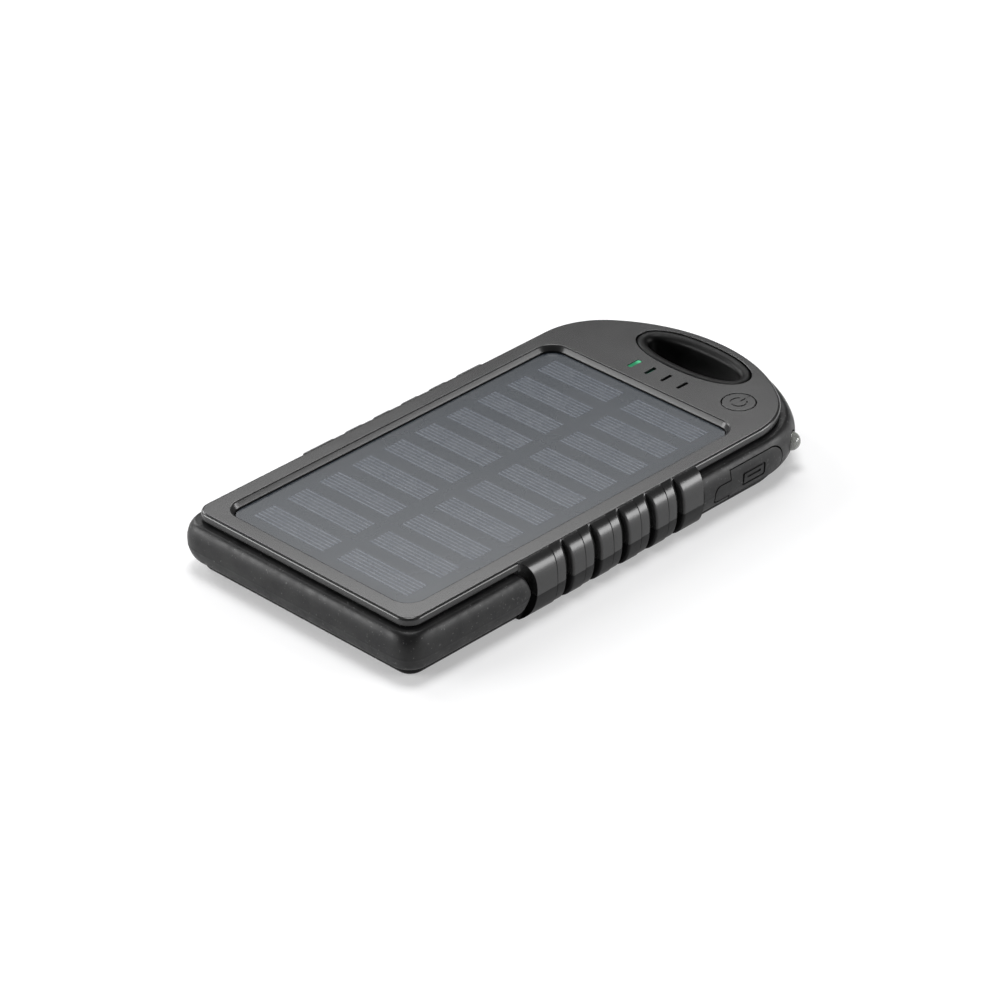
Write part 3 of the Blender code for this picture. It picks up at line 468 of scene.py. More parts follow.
def make_materials():
    return {
        "plate": surface("satin_plastic", (0.013, 0.013, 0.0135), (0.018, 0.018, 0.018), (0.23, 0.27),
                         mottle=30.0, grain=0.45, relief=0.0002),
        # The grips are the plate's plastic in a darker colour: partly their own black, partly painted shade
        # for the shade on the ribs' lower halves.
        "grip": surface("grip_plastic_and_painted_shade", (0.006, 0.006, 0.0063), (0.009, 0.009, 0.0094), (0.27, 0.35),
                        mottle=14.0, grain=0.30, relief=0.005, Specular_IOR_Level=0.15),
        "rubber": surface("bumper_rubber", (0.005, 0.005, 0.0055), (0.013, 0.013, 0.013), (0.36, 0.50),
                          mottle=5.0, grain=0.35, relief=0.018, specks=(0.6, 0.66, (0.055, 0.055, 0.055)),
                          Specular_IOR_Level=0.24),
        # Darker than the bumper rubber: partly the liner's own black, partly painted shade for the shade deep
        # inside the carabiner hole.
        "liner": surface("liner_rubber_and_painted_shade", (0.002, 0.002, 0.002), (0.005, 0.005, 0.005), (0.38, 0.50),
                         mottle=6.0, grain=0.35, relief=0.012, Specular_IOR_Level=0.16),
        "film": surface("panel_laminate", (0.017, 0.024, 0.033), (0.021, 0.028, 0.037), (0.25, 0.29),
                        mottle=40.0, relief=0.0, Specular_IOR_Level=0.44),
        "tint": surface("cell_tint", (0.024, 0.032, 0.044), (0.032, 0.040, 0.052), (0.25, 0.29),
                        mottle=6.0, relief=0.0, Specular_IOR_Level=0.44),
        "board": surface("panel_backing", (0.020, 0.023, 0.028), (0.024, 0.027, 0.033), (0.40, 0.50),
                         mottle=10.0, grain=0.5, relief=0.004),
        "cell": surface("silicon_strip", (0.050, 0.060, 0.076), (0.064, 0.074, 0.092), (0.25, 0.35),
                        mottle=5.0, grain=0.8, relief=0.003),
        "finger": surface("silver_print", (0.080, 0.095, 0.120), (0.110, 0.125, 0.150), (0.25, 0.29),
                          mottle=3.0, relief=0.0, Specular_IOR_Level=0.44),
        "window_lit": glowing("window_lit", *[c[1] for c in node_box(LIGHT_PIPES[0])]),
        "window_faint": surface("window_faint", (0.004, 0.05, 0.03), (0.01, 0.09, 0.06), (0.25, 0.35),
                                mottle=1.5, grain=0.3, relief=0.004, Emission_Color=(0.0, 0.10, 0.05, 1.0),
                                Emission_Strength=0.25),
        "window_dark": surface("window_dark", (0.004, 0.004, 0.005), (0.008, 0.008, 0.009), (0.25, 0.35),
                               mottle=1.5, grain=0.3, relief=0.004),
        # Partly milky white instead of clear: painted reflection, the white stands in for the bright
        # reflections of the clear dome.
        "lens": surface("torch_dome", (0.62, 0.64, 0.60), (0.80, 0.81, 0.77), (0.06, 0.12), mottle=2.0,
                        grain=0.5, relief=0.002, Transmission_Weight=0.78, IOR=1.5),
        "reflector": surface("torch_reflector", (0.62, 0.62, 0.58), (0.80, 0.79, 0.74), (0.15, 0.25),
                             mottle=1.0, grain=0.3, relief=0.004, Metallic=1.0),
        "emitter": surface("torch_emitter", (0.75, 0.70, 0.30), (0.85, 0.80, 0.40), (0.35, 0.45), mottle=0.6,
                           grain=0.2, relief=0.004),
        "steel": surface("screw_steel", (0.09, 0.09, 0.09), (0.16, 0.16, 0.155), (0.28, 0.42), mottle=1.5,
                         grain=0.12, relief=0.004, Metallic=1.0),
        "shell": surface("plated_steel", (0.62, 0.62, 0.60), (0.72, 0.72, 0.70), (0.20, 0.34), mottle=3.0,
                         grain=0.15, relief=0.003, Metallic=1.0),
        "tongue": surface("tongue_plastic", (0.018, 0.018, 0.018), (0.026, 0.026, 0.026), (0.40, 0.50),
                          mottle=2.0, grain=0.2, relief=0.004),
        "circuit": surface("circuit_board", (0.012, 0.085, 0.035), (0.020, 0.115, 0.05), (0.35, 0.50),
                           mottle=4.0, grain=0.3, relief=0.006),
        "chip": surface("chip_package", (0.020, 0.020, 0.020), (0.030, 0.030, 0.030), (0.45, 0.60),
                        mottle=2.0, grain=0.15, relief=0.006),
        "led": surface("led_package", (0.74, 0.74, 0.68), (0.86, 0.86, 0.80), (0.30, 0.40), mottle=1.0,
                       grain=0.2, relief=0.004),
        "pouch": surface("battery_pouch", (0.50, 0.51, 0.53), (0.62, 0.63, 0.65), (0.28, 0.42), mottle=16.0,
                         grain=0.6, relief=0.012, Metallic=0.8),
        "foam": surface("foam_tape", (0.035, 0.035, 0.035), (0.060, 0.060, 0.060), (0.85, 0.95), mottle=3.0,
                        grain=0.5, relief=0.08),
        "wire_red": surface("red_insulation", (0.42, 0.015, 0.015), (0.52, 0.025, 0.02), (0.35, 0.45),
                            mottle=3.0, grain=0.3, relief=0.004),
        "wire_black": surface("black_insulation", (0.018, 0.018, 0.018), (0.028, 0.028, 0.028), (0.35, 0.45),
                              mottle=3.0, grain=0.3, relief=0.004),
        "floor": surface("studio_floor", (0.66, 0.66, 0.665), (0.68, 0.68, 0.685), (0.75, 0.85), mottle=60.0,
                         grain=2.0, relief=0.01, Emission_Color=(1.0, 1.0, 1.0, 1.0), Emission_Strength=0.32),
    }


# ---------------------------------------------------------------- stations along the outline

def straight_station(side, y):
    return side * HALF_WIDTH, y, side, 0.0


def arc_stations(centre, radius, start, end, steps):
    angles = [start + (end - start) * i / steps for i in range(steps + 1)]
    return [(centre[0] + radius * cos(a), centre[1] + radius * sin(a), cos(a), sin(a)) for a in angles]


def shoulder_stations(start, end, steps):
    return arc_stations((SHOULDER_X, SHOULDER_Y), SHOULDER_RADIUS, start, end, steps)


def top_stations():
    """Round the loop end, from the grip on the +X side to the grip on the -X side."""
    low, high = GRIP_END + FIT_GAP / 3, SHOULDER_Y
    side = [low, low + 0.15, low + 0.5] + [low + (high - low) * i / 8 for i in range(1, 8)]
    right = [straight_station(1, y) for y in side]
    left = [straight_station(-1, y) for y in reversed(side)]
    arch = arc_stations((0, ARCH_Y), ARCH_RADIUS, SHOULDER_TURN, pi - SHOULDER_TURN, 40)[1:-1]
    far = arc_stations((-SHOULDER_X, SHOULDER_Y), SHOULDER_RADIUS, pi - SHOULDER_TURN, pi, 20)
    return right + shoulder_stations(0, SHOULDER_TURN, 20) + arch + far + left


def bottom_stations():
    """Round the square end, with each station's height factor: the ends are half-round noses."""
    nose = [radians(a) for a in (84, 78, 70, 60, 48, 36, 24, 12, 0)]
    reach = (BOTTOM_HIGH[1] - NOSE_START) / sin(nose[0])
    ends = [(NOSE_START + reach * sin(a), cos(a)) for a in nose]
    run = [NOSE_START + (CORNER_Y - NOSE_START) * i / 6 for i in range(1, 6)]
    ends += [(y, 1.0) for y in run]
    right = [(straight_station(1, y), factor) for y, factor in ends]
    left = [(straight_station(-1, y), factor) for y, factor in reversed(ends)]
    front = [(CORNER_X - 2 * CORNER_X * i / 8, -HALF_LENGTH, 0.0, -1.0) for i in range(1, 8)]
    corner_right = arc_stations((CORNER_X, CORNER_Y), CORNER_RADIUS, 0, -0.5 * pi, 14)
    corner_left = arc_stations((-CORNER_X, CORNER_Y), CORNER_RADIUS, -0.5 * pi, -pi, 14)
    return right + [(s, 1.0) for s in corner_right + front + corner_left] + left


def bulged(edge, bulge, z, middle, half_height):
    """Outward offset of a barrel-shaped wall: an ellipse arc from edge to bulge and back."""
    level = max(-1.0, min(1.0, (z - middle) / half_height))
    return edge + (bulge - edge) * sqrt(1 - level * level)


def bumper_surface(station, z):
    nx, ny = station[2], station[3]
    bulge = BUMPER_BULGE + BUMPER_CORNER * (2 * nx * ny) ** 2
    return bulged(BUMPER_EDGE, bulge, z, BUMPER_MIDDLE, (BUMPER_HIGH - BUMPER_LOW) / 2)


def bumper_profile(station, factor=1.0, steps=22):
    """The bumper's section, with a fine mould line round its middle."""
    half = (BUMPER_HIGH - BUMPER_LOW) / 2
    levels = [sin(pi * (0.5 - i / steps)) for i in range(steps + 1)]
    line = (MOULD_LINE - BUMPER_MIDDLE) / half
    levels = [u for u in levels if abs(u - line) > 0.05] + [line + 0.03, line, line - 0.03]
    levels.sort(reverse=True)
    soft = 0.45 + 0.55 * sqrt(factor)
    outer = []
    for u in levels:
        offset = BUMPER_EDGE + (bumper_surface(station, BUMPER_MIDDLE + half * u) - BUMPER_EDGE) * soft
        ridge = 0.04 if u == line else 0.0
        outer.append((offset + ridge, BUMPER_MIDDLE + half * factor * u))
    inner = [(BUMPER_ROOT, BUMPER_MIDDLE - half * factor), (BUMPER_ROOT, BUMPER_MIDDLE + half * factor)]
    return outer + inner


# ---------------------------------------------------------------- covers

def rib_offset(z):
    """Outward offset of a rib: a half oval, widest at half height and inside the plate at its edges."""
    level = min(1.0, abs(z - RIB_TOP / 2) / (RIB_TOP / 2))
    return RIB_EDGE + (RIB_BULGE - RIB_EDGE) * sqrt(1 - level ** RIB_POWER)


def notch_columns(number, z):
    """(y, offset) across one notch at height z: a fine line, a facet, then a groove up to the next rib."""
    rib = rib_offset(z)
    level = (z - RIB_TOP / 2) / (RIB_TOP / 2)
    bow = 1 - level * level
    start = NOTCH_LINE_Y + number * NOTCH_PITCH
    wall = NOTCH_WALL_Y + number * NOTCH_PITCH + NOTCH_BOW * bow
    groove = wall - GROOVE_WIDTH * (1 + 0.5 * bow)
    floor = min(rib, max(rib - NOTCH_DEPTH, -0.1))
    line, facet = max(rib - NOTCH_LINE, floor), max(rib - NOTCH_FACET, floor)
    columns = [(start - 0.3, rib), (start, rib), (start + 0.06, line), (start + 0.28, line),
               (start + 0.45, facet), (groove, facet)]
    for i in range(1, 7):
        share = i / 6
        columns.append((groove + (wall - groove) * share, facet + (floor - facet) * share ** 1.3))
    columns += [(wall + 0.5 * (1 - c), floor + (rib - floor) * s) for s, c in quarter(6)][1:]
    return columns + [(wall + 1.0, rib)]


def grip_columns(z):
    rib = rib_offset(z)
    columns = [(GRIP_START, rib), (GRIP_START + 0.25, rib)]
    for number in range(NOTCH_COUNT):
        columns += notch_columns(number, z)
    return columns + [(GRIP_END - 0.15, rib), (GRIP_END, rib - 0.1)]


def grip_bank(side, z0, z1):
    """The ribs of one side between two levels, as one solid."""
    steps = 20
    root = HALF_WIDTH + (CORE_OFFSET + CAVITY_OFFSET) / 2
    levels = [z1 + (z0 - z1) * (0.5 - 0.5 * cos(pi * i / steps)) for i in range(steps + 1)]
    rows = [[(side * (HALF_WIDTH + offset), y, z) for y, offset in grip_columns(z)] for z in levels]
    rows += [[(side * root, y, z) for y, _ in grip_columns(z)] for z in (z0, z1)]
    count = len(rows[0])
    points = [point for row in rows for point in row]
    faces = []
    for row in range(len(rows)):
        low, high = row * count, (row + 1) % len(rows) * count
        faces += [(low + i, low + i + 1, high + i + 1, high + i) for i in range(count - 1)]
    faces.append(tuple(row * count for row in range(len(rows))))
    faces.append(tuple(row * count + count - 1 for row in reversed(range(len(rows)))))
    return points, faces


def pocket(side, offsets, middle, half):
    """A half-round cutter at the start of a grip, between two offsets."""
    steps = 32
    angles = [pi * (i / steps - 0.5) for i in range(steps + 1)]
    points = []
    for offset in offsets:
        x = side * (HALF_WIDTH + offset)
        points += [(x, GRIP_START + POCKET_DEPTH * cos(a), middle + half * sin(a)) for a in angles]
        points += [(x, GRIP_START - 1, middle + half), (x, GRIP_START - 1, middle - half)]
    count = len(points) // 2
    faces = [tuple(range(count)), tuple(reversed(range(count, 2 * count)))]
    faces += [(i, (i + 1) % count, count + (i + 1) % count, count + i) for i in range(count)]
    return points, faces


def bumper_pockets():
    """Pockets in the first ribs, round the noses of the bottom bumper."""
    root_half = (BUMPER_HIGH - BUMPER_LOW) / 2 + FIT_GAP
    pockets = []
    for side in (1, -1):
        pockets.append(pocket(side, (CORE_OFFSET, 0.1), BUMPER_MIDDLE, root_half))
        pockets.append(pocket(side, (0.05, RIB_BULGE + 1), RIB_TOP / 2, POCKET_HALF_HEIGHT))
    return pockets


def torch_direction():
    return cos(TORCH_ANGLE), sin(TORCH_ANGLE)


def torch_point(distance):
    dx, dy = torch_direction()
    return SHOULDER_X + distance * dx, SHOULDER_Y + distance * dy, TORCH_Z


def torch_hole(radius=TORCH_HOLE_RADIUS):
    return aimed(prism(circle(0, 0, radius, 40), 0, 11), torch_point(15), torch_direction())


def port_window():
    return box(*PORT_X, FLAP_LOW_Y - 0.1, PORT_HIGH_Y, *PORT_Z)


def centre_of(name):
    low, high = node_box(name)
    return (low[0] + high[0]) / 2, (low[1] + high[1]) / 2


def front_cover():
    low = PARTING + 0.04
    levels = [(plan(CORE_OFFSET), low), (plan(CORE_OFFSET), PLATE_BOTTOM), (plan(-0.2), PLATE_BOTTOM),
              (plan(0), PLATE_BOTTOM + 0.2)]
    levels += [(plan(-PLATE_EDGE * (1 - c)), TOP - PLATE_EDGE * (1 - s)) for s, c in quarter(6)]
    cover = mesh_object("upper_case", stack(levels))
    cavity = plan(CAVITY_OFFSET)
    edge = SHOULDER_X + sqrt((SHOULDER_RADIUS + CAVITY_OFFSET) ** 2 - (ARCH_CAVITY_START - SHOULDER_Y) ** 2)
    arch_cavity = [(edge, ARCH_CAVITY_START)] + [p for p in cavity if p[1] > ARCH_CAVITY_START]
    arch_cavity.append((-edge, ARCH_CAVITY_START))
    rim = [(BEVEL_RUN, PANEL_LEDGE - TOP), (BEVEL_RUN, -BEVEL_FOOT - 0.12), (BEVEL_RUN - 0.05, -BEVEL_FOOT),
           (0.12, -0.24), (0.02, -0.1), (-0.1, -0.03), (-0.25, 0.0), (-0.25, 1.0)]
    recess = stack([(panel_outline(inset), TOP + drop) for inset, drop in rim])
    places = [centre_of(name) for name in COVER_SCREWS]
    bosses = [prism(circle(*place, BOSS_RADIUS, 24), low, CEILING + 0.5) for place in places]
    screw_holes = [prism(circle(*place, SCREW_HOLE_RADIUS, 20), low - 1, CEILING + 0.3) for place in places]
    slots = []
    for number, name in enumerate(LIGHT_PIPES):
        slots.append(flared(lambda inset, number=number, name=name: window_outline(number, name, inset - 0.1),
                            ARCH_CEILING - 1, TOP, 0.06))
    button_radius = BUTTON_RADIUS + BUTTON_GAP
    button_hole = flared(lambda inset: circle(BUTTON_X, BUTTON_Y, button_radius - inset, 64),
                         ARCH_CEILING - 1, TOP, 0.08)
    return shaped(cover, [
        ("DIFFERENCE", prism(cavity, low - 1, CEILING)),
        ("DIFFERENCE", prism(arch_cavity, CEILING - 1, ARCH_CEILING)),
        ("UNION", grip_bank(1, low, RIB_TOP)),
        ("UNION", grip_bank(-1, low, RIB_TOP)),
        ("UNION", prism(loop_outline(-LOOP_WALL), low, ARCH_CEILING + 0.5)),
        ("UNION", combined(*bosses)),
        ("DIFFERENCE", recess),
        ("DIFFERENCE", box(*WIRE_SLOT, CEILING - 1, PANEL_LEDGE + 1)),
        ("DIFFERENCE", flared(loop_outline, low - 1, TOP, 0.15)),
        ("DIFFERENCE", button_hole),
        ("DIFFERENCE", combined(*slots)),
        ("DIFFERENCE", combined(*screw_holes)),
        ("DIFFERENCE", port_window()),
        ("DIFFERENCE", torch_hole()),
    ] + [("DIFFERENCE", solid) for solid in bumper_pockets()])


def back_cover():
    high = PARTING - 0.04
    above = high + 1
    root = FLOOR_TOP / 2
    edge = [(plan(-1.4 + 1.0 * s), 1.0 * (1 - c)) for s, c in quarter(6)]
    levels = edge + [(plan(-0.4), FLOOR_RIM), (plan(CORE_OFFSET), FLOOR_RIM), (plan(CORE_OFFSET), high)]
    cover = mesh_object("lower_case", stack(levels))
    places = [centre_of(name) for name in COVER_SCREWS]
    posts = [centre_of(name) for name in ("board_screw_1", "board_screw_2")]

    def head_hole(place):
        hole = flared(lambda inset: circle(*place, HEAD_HOLE_RADIUS - inset, 32), -FLOOR_RIM - 0.1, 0, 0.12)
        return [(x, y, -z) for x, y, z in hole[0]], hole[1]

    recess = rounded_rectangle(*BACK_RECESS, BACK_RECESS_RADIUS)
    return shaped(cover, [
        ("DIFFERENCE", prism(plan(CAVITY_OFFSET), FLOOR_TOP, above)),
        ("UNION", grip_bank(1, 0, high)),
        ("UNION", grip_bank(-1, 0, high)),
        ("UNION", prism(loop_outline(-LOOP_WALL), root, high)),
        ("UNION", combined(*[prism(circle(*place, BOSS_RADIUS, 24), root, high) for place in places])),
        ("UNION", combined(*[prism(circle(*place, POST_RADIUS, 20), root, POST_TOP) for place in posts])),
        ("DIFFERENCE", prism(recess, -1, BACK_RECESS_DEPTH)),
        ("DIFFERENCE", prism(loop_outline(0), -1, above)),
        ("DIFFERENCE", combined(*[prism(circle(*place, SCREW_HOLE_RADIUS, 20), -1, above)
                                  for place in places])),
        ("DIFFERENCE", combined(*[head_hole(place) for place in places])),
        ("DIFFERENCE", combined(*[prism(circle(*place, POST_HOLE_RADIUS, 16), root + 0.3, above)
                                  for place in posts])),
        ("DIFFERENCE", port_window()),
        ("DIFFERENCE", torch_hole()),
    ] + [("DIFFERENCE", solid) for solid in bumper_pockets()])


# ---------------------------------------------------------------- rubber parts

def bumper_bottom():
    stations = bottom_stations()
    profiles = [bumper_profile(station, factor) for station, factor in stations]
    return mesh_object("lower_bumper", sweep([s for s, _ in stations], profiles))


def flap_turn(y):
    """Angle on the shoulder arc at which the bumper's outside reaches y."""
    return atan2(y - SHOULDER_Y, sqrt((SHOULDER_RADIUS + FLAP_WALL) ** 2 - (y - SHOULDER_Y) ** 2))


def flap_levels(narrow, from_low, from_high):
    """The flap opening's (z0, z1), with rounded corners at its low and its far end."""
    z0, z1 = FLAP_NARROW if narrow else FLAP_TALL
    for distance, radius in ((from_low, FLAP_ROUND if narrow else 0.0), (from_high, FLAP_END_ROUND)):
        if distance < radius:
            cut = radius - sqrt(radius ** 2 - (radius - distance) ** 2)
            z0, z1 = z0 + 0.4 * cut, z1 - cut
    return z0, z1


def flap_stations(grow):
    """(station, narrow, from_low, from_high) along the flap, grown or shrunk at both ends."""
    ends = [FLAP_ROUND * (1 - c) for _, c in quarter(5)]
    places = [(straight_station(1, FLAP_LOW_Y - grow + d), True, d, NO_END) for d in ends]
    places += [(straight_station(1, FLAP_STEP_Y - grow), True, NO_END, NO_END),
               (straight_station(1, FLAP_STEP_Y - grow + 0.02), False, NO_END, NO_END)]
    places += [(straight_station(1, y), False, NO_END, NO_END) for y in (36.0, SHOULDER_Y - 4)]
    radius = SHOULDER_RADIUS + FLAP_WALL
    last = flap_turn(FLAP_HIGH_Y) + grow / radius
    turns = [last * i / 8 for i in range(9) if last - last * i / 8 > FLAP_END_ROUND / radius]
    turns += [last - FLAP_END_ROUND * (1 - c) / radius for _, c in reversed(quarter(7))]
    for turn in turns:
        station = shoulder_stations(turn, turn, 1)[0]
        places.append((station, False, NO_END, (last - turn) * radius))
    return places


def flap_window():
    """The opening in the top bumper: tall over the big port, narrow over the small one."""
    stations, profiles = [], []
    for station, narrow, from_low, from_high in flap_stations(0.0):
        z0, z1 = flap_levels(narrow, from_low, from_high)
        stations.append(station)
        profiles.append([(4.5, z1), (4.5, z0), (-2.0, z0), (-2.0, z1)])
    return sweep(stations, profiles)


def bumper_top():
    stations = top_stations()
    bumper = mesh_object("upper_bumper", sweep(stations, [bumper_profile(s) for s in stations]))
    hole = torch_hole(TORCH_RUBBER_HOLE_RADIUS)
    return shaped(bumper, [("DIFFERENCE", flap_window()), ("DIFFERENCE", hole)])


def surface_x(z):
    return HALF_WIDTH + bumper_surface((0, 0, 1.0, 0.0), z)


def port_mark():
    """A plain port pictogram, sunk into the flap: a rounded outline round a bar."""
    middle_y, middle_z, half_y, half_z, stroke, depth = 39.8, 6.6, 3.9, 1.8, 0.55, 0.32
    path = rounded_rectangle(middle_y - half_y, middle_z - half_z,
                             middle_y + half_y, middle_z + half_z, 0.6, 5)
    inner = rounded_rectangle(middle_y - half_y + stroke, middle_z - half_z + stroke,
                              middle_y + half_y - stroke, middle_z + half_z - stroke, 0.25, 5)
    count = len(path)
    points = []
    for loop, height in ((path, -depth), (path, 0.4), (inner, 0.4), (inner, -depth)):
        points += [(surface_x(z) + height, y, z) for y, z in loop]
    faces = []
    for ring in range(4):
        low, high = ring * count, (ring + 1) % 4 * count
        faces += [(low + i, low + (i + 1) % count, high + (i + 1) % count, high + i) for i in range(count)]
    deep = surface_x(middle_z) - depth
    bar = box(deep, deep + 1, middle_y - 2.3, middle_y + 2.3, middle_z - 0.1, middle_z + 0.5)
    return combined((points, faces), bar)


def usb_flap():
    """The port flap: a curved cover whose outside continues the bumper, with two sealing bosses."""
    stations, profiles = [], []
    for station, narrow, from_low, from_high in flap_stations(-FLAP_GAP):
        z0, z1 = flap_levels(narrow, from_low, from_high)
        z0, z1 = z0 + FLAP_GAP, z1 - FLAP_GAP
        levels = [z1 + (z0 - z1) * i / 14 for i in range(15)]
        stations.append(station)
        profiles.append([(bumper_surface(station, z), z) for z in levels] + [(0.0, z0), (0.0, z1)])
    flap = mesh_object("port_flap", sweep(stations, profiles))
    bevel = flap.modifiers.new("soft_edges", "BEVEL")
    bevel.width = 0.12 * MM
    bevel.segments = 3
    bevel.angle_limit = radians(50)
    inner = HALF_WIDTH + 0.5
    return shaped(flap, [
        ("UNION", box(FLAP_BOSS_X, inner, *BIG_BOSS)),
        ("UNION", box(FLAP_BOSS_X, inner, *SMALL_BOSS)),
        ("DIFFERENCE", port_mark()),
    ])


def loop_liner():
    """The rubber ring that lines the carabiner hole, rounded over at both mouths."""
    low, high, thick = LINER_LOW[2], LINER_HIGH[2], LINER_THICKNESS
    profile = [(0.0, low + 0.5), (0.0, high - 0.55)]
    profile += [(0.22 * (1 - c), high - 0.55 + 0.4 * s) for s, c in quarter(4)][1:]
    profile += [(0.35, high - 0.03), (0.55, high), (0.9, high - 0.02)]
    profile += [(0.9 + (thick - 0.9) * s, high - 0.02 - 1.6 * (1 - c)) for s, c in quarter(8)][1:]
    profile += [(thick, 1.8)]
    profile += [(thick - 1.6 * (1 - c), 1.8 - 1.5 * s) for s, c in quarter(6)][1:]
    profile += [(0.4, low), (0.12, low + 0.15)]
    count = 96
    points = [(x, y, z) for inset, z in profile for x, y in loop_outline(FIT_GAP + inset, count)]
    faces = []
    for level in range(len(profile)):
        start, stop = level * count, (level + 1) % len(profile) * count
        for i in range(count):
            j = (i + 1) % count
            faces.append((start + i, start + j, stop + j, stop + i))
    return mesh_object("hole_liner", (points, faces))


# ---------------------------------------------------------------- button, indicators, torch, screws

def power_button():
    """A flush disc with a sunk power mark: a broken ring and a bar."""
    bottom, top = BUTTON_LOW[2], BUTTON_HIGH[2]
    profile = [(0, bottom), (1.5, bottom), (1.5, bottom + 0.5), (BUTTON_RADIUS, bottom + 0.5)]
    profile += [(BUTTON_RADIUS - 0.12 * (1 - c), top - 0.12 * (1 - s)) for s, c in quarter(4)]
    profile.append((0, top))
    button = mesh_object("button_cap", moved(revolve(profile, 64), (BUTTON_X, BUTTON_Y, 0)))
    centre, floor = (BUTTON_X, BUTTON_Y), top - POWER_MARK_DEPTH
    ring_out = arc(centre, POWER_MARK_OUTER, radians(125), radians(415), 40)
    ring_in = arc(centre, POWER_MARK_INNER, radians(415), radians(125), 40)
    bar = box(BUTTON_X - 0.2, BUTTON_X + 0.2, BUTTON_Y + 0.6, BUTTON_Y + 2.4, floor, top + 1)
    mark = combined(prism(ring_out + ring_in, floor, top + 1), bar)
    return shaped(button, [("DIFFERENCE", mark)])


def window(number, name):
    """An indicator window: a rounded bar; the dark ones lie lower in their slots than the lit one."""
    z0, z1 = node_box(name)[0][2], node_box(name)[1][2]
    top = z1 - (0.05 if number == 0 else 0.55)
    levels = [(window_outline(number, name, 0), z0)]
    levels += [(window_outline(number, name, 0.12 * (1 - c)), top - 0.12 * (1 - s)) for s, c in quarter(3)]
    return mesh_object(f"indicator_window_{number + 1}", stack(levels))


def torch_lens():
    """The clear dome of the torch LED, with a collar at its foot."""
    foot = TORCH_TIP - TORCH_RADIUS - 1.2
    profile = [(0, foot), (TORCH_RADIUS - 0.1, foot), (TORCH_RADIUS, foot + 0.1)]
    profile += [(TORCH_RADIUS * c, TORCH_TIP - TORCH_RADIUS + TORCH_RADIUS * s) for s, c in quarter(14)][:-1]
    profile.append((0, TORCH_TIP))
    return mesh_object("torch_dome", aimed(revolve(profile, 40), (SHOULDER_X, SHOULDER_Y, TORCH_Z),
                                           torch_direction()))


def torch_cup():
    """The bright base behind the dome, with a dished face."""
    face = TORCH_TIP - TORCH_RADIUS - TORCH_CUP_GAP
    low = face - 6.5
    profile = [(0, low), (TORCH_RADIUS, low), (TORCH_RADIUS, face), (TORCH_RADIUS - 0.3, face),
               (1.0, face - 0.7), (0, face - 0.7)]
    return mesh_object("torch_cup", aimed(revolve(profile, 40), (SHOULDER_X, SHOULDER_Y, TORCH_Z),
                                          torch_direction()))


def torch_chip():
    face = TORCH_TIP - TORCH_RADIUS - TORCH_CUP_GAP
    chip = prism(rounded_rectangle(-0.6, -0.6, 0.6, 0.6, 0.1, 3), face - 0.65, face - 0.35)
    return mesh_object("torch_chip", aimed(chip, (SHOULDER_X, SHOULDER_Y, TORCH_Z), torch_direction()))


def cover_screw(number, name):
    """A pan-head screw with a cross recess, seen from below."""
    x, y = centre_of(name)
    radius, edge = SCREW_HEAD_RADIUS, SCREW_HEAD_EDGE
    head = [(radius - edge * (1 - s), SCREW_HEAD_FACE + edge * (1 - c)) for s, c in quarter(4)]
    shank = [(radius, 1.9), (1.0, 1.9), (1.0, 9.6), (0, 10.2)]
    profile = [(0, SCREW_HEAD_FACE)] + head + shank
    screw = mesh_object(f"case_screw_{number + 1}", moved(revolve(profile, 32), (x, y, 0)))
    arm, half, depth = 1.05, 0.21, 0.7
    cross = [box(x - arm, x + arm, y - half, y + half, 0, SCREW_HEAD_FACE + depth),
             box(x - half, x + half, y - arm, y + arm, 0, SCREW_HEAD_FACE + depth)]
    return shaped(screw, [("DIFFERENCE", solid) for solid in cross])


def cell_print(name):
    """How a solar cell strip shows through the laminate: a faint tint, and fine contact lines on it."""
    (x0, y0, _), (x1, y1, _) = node_box(name)
    shade = mesh_object(name.replace("solar_cell", "cell_tint"),
                        box(x0, x1, y0, y1, FILM_TOP - 0.02, FILM_TOP + 0.006))
    pitch = (y1 - y0) / FINGER_COUNT
    lines = []
    for i in range(FINGER_COUNT):
        y = y0 + pitch * (i + 0.5)
        lines.append(box(x0 + 0.1, x1 - 0.1, y - FINGER_WIDTH / 2, y + FINGER_WIDTH / 2,
                         FILM_TOP - 0.01, FILM_TOP + 0.012))
    return shade, mesh_object(name.replace("solar_cell", "cell_fingers"), combined(*lines))


# ---------------------------------------------------------------- studio

CAMERA_PLACE = (0.64455, -0.64987, 0.55442)
CAMERA_AZIMUTH = 45.037
CAMERA_ELEVATION = 31.139
CAMERA_ROLL = -0.8216
CAMERA_LENS = 165.9
WORLD_LIGHT = 0.10
FLOOR_HALF = 4000
# (name, azimuth, elevation, distance, width, height, radiance): degrees, metres and W/m2/sr
SOFTBOXES = (
    ("overhead", 135, 84, 1.5, 0.6, 0.6, 11.0),
    ("key", 183, 27, 1.1, 0.5, 0.45, 7.0),
    ("back", 135, 41.2, 1.1, 0.7, 0.27, 5.6),
    ("low_left", 229, 11.5, 1.2, 0.9, 0.45, 10.5),
    ("low_right", 42, 10.5, 1.2, 0.9, 0.42, 9.5),
)


def camera():
    azimuth, elevation, roll = radians(CAMERA_AZIMUTH), radians(CAMERA_ELEVATION), radians(CAMERA_ROLL)
    back = Vector((sin(azimuth) * cos(elevation), -cos(azimuth) * cos(elevation), sin(elevation)))
    right = Vector((0, 0, 1)).cross(back).normalized()
    up = back.cross(right)
    across = cos(roll) * right + sin(roll) * up
    upward = -sin(roll) * right + cos(roll) * up
    data = bpy.data.cameras.new("studio_camera")
    data.lens = CAMERA_LENS
    data.clip_start = 0.01
    result = bpy.data.objects.new("studio_camera", data)
    turn = Matrix((across, upward, back)).transposed().to_4x4()
    result.matrix_world = Matrix.Translation(CAMERA_PLACE) @ turn
    bpy.context.scene.collection.objects.link(result)
    bpy.context.scene.camera = result


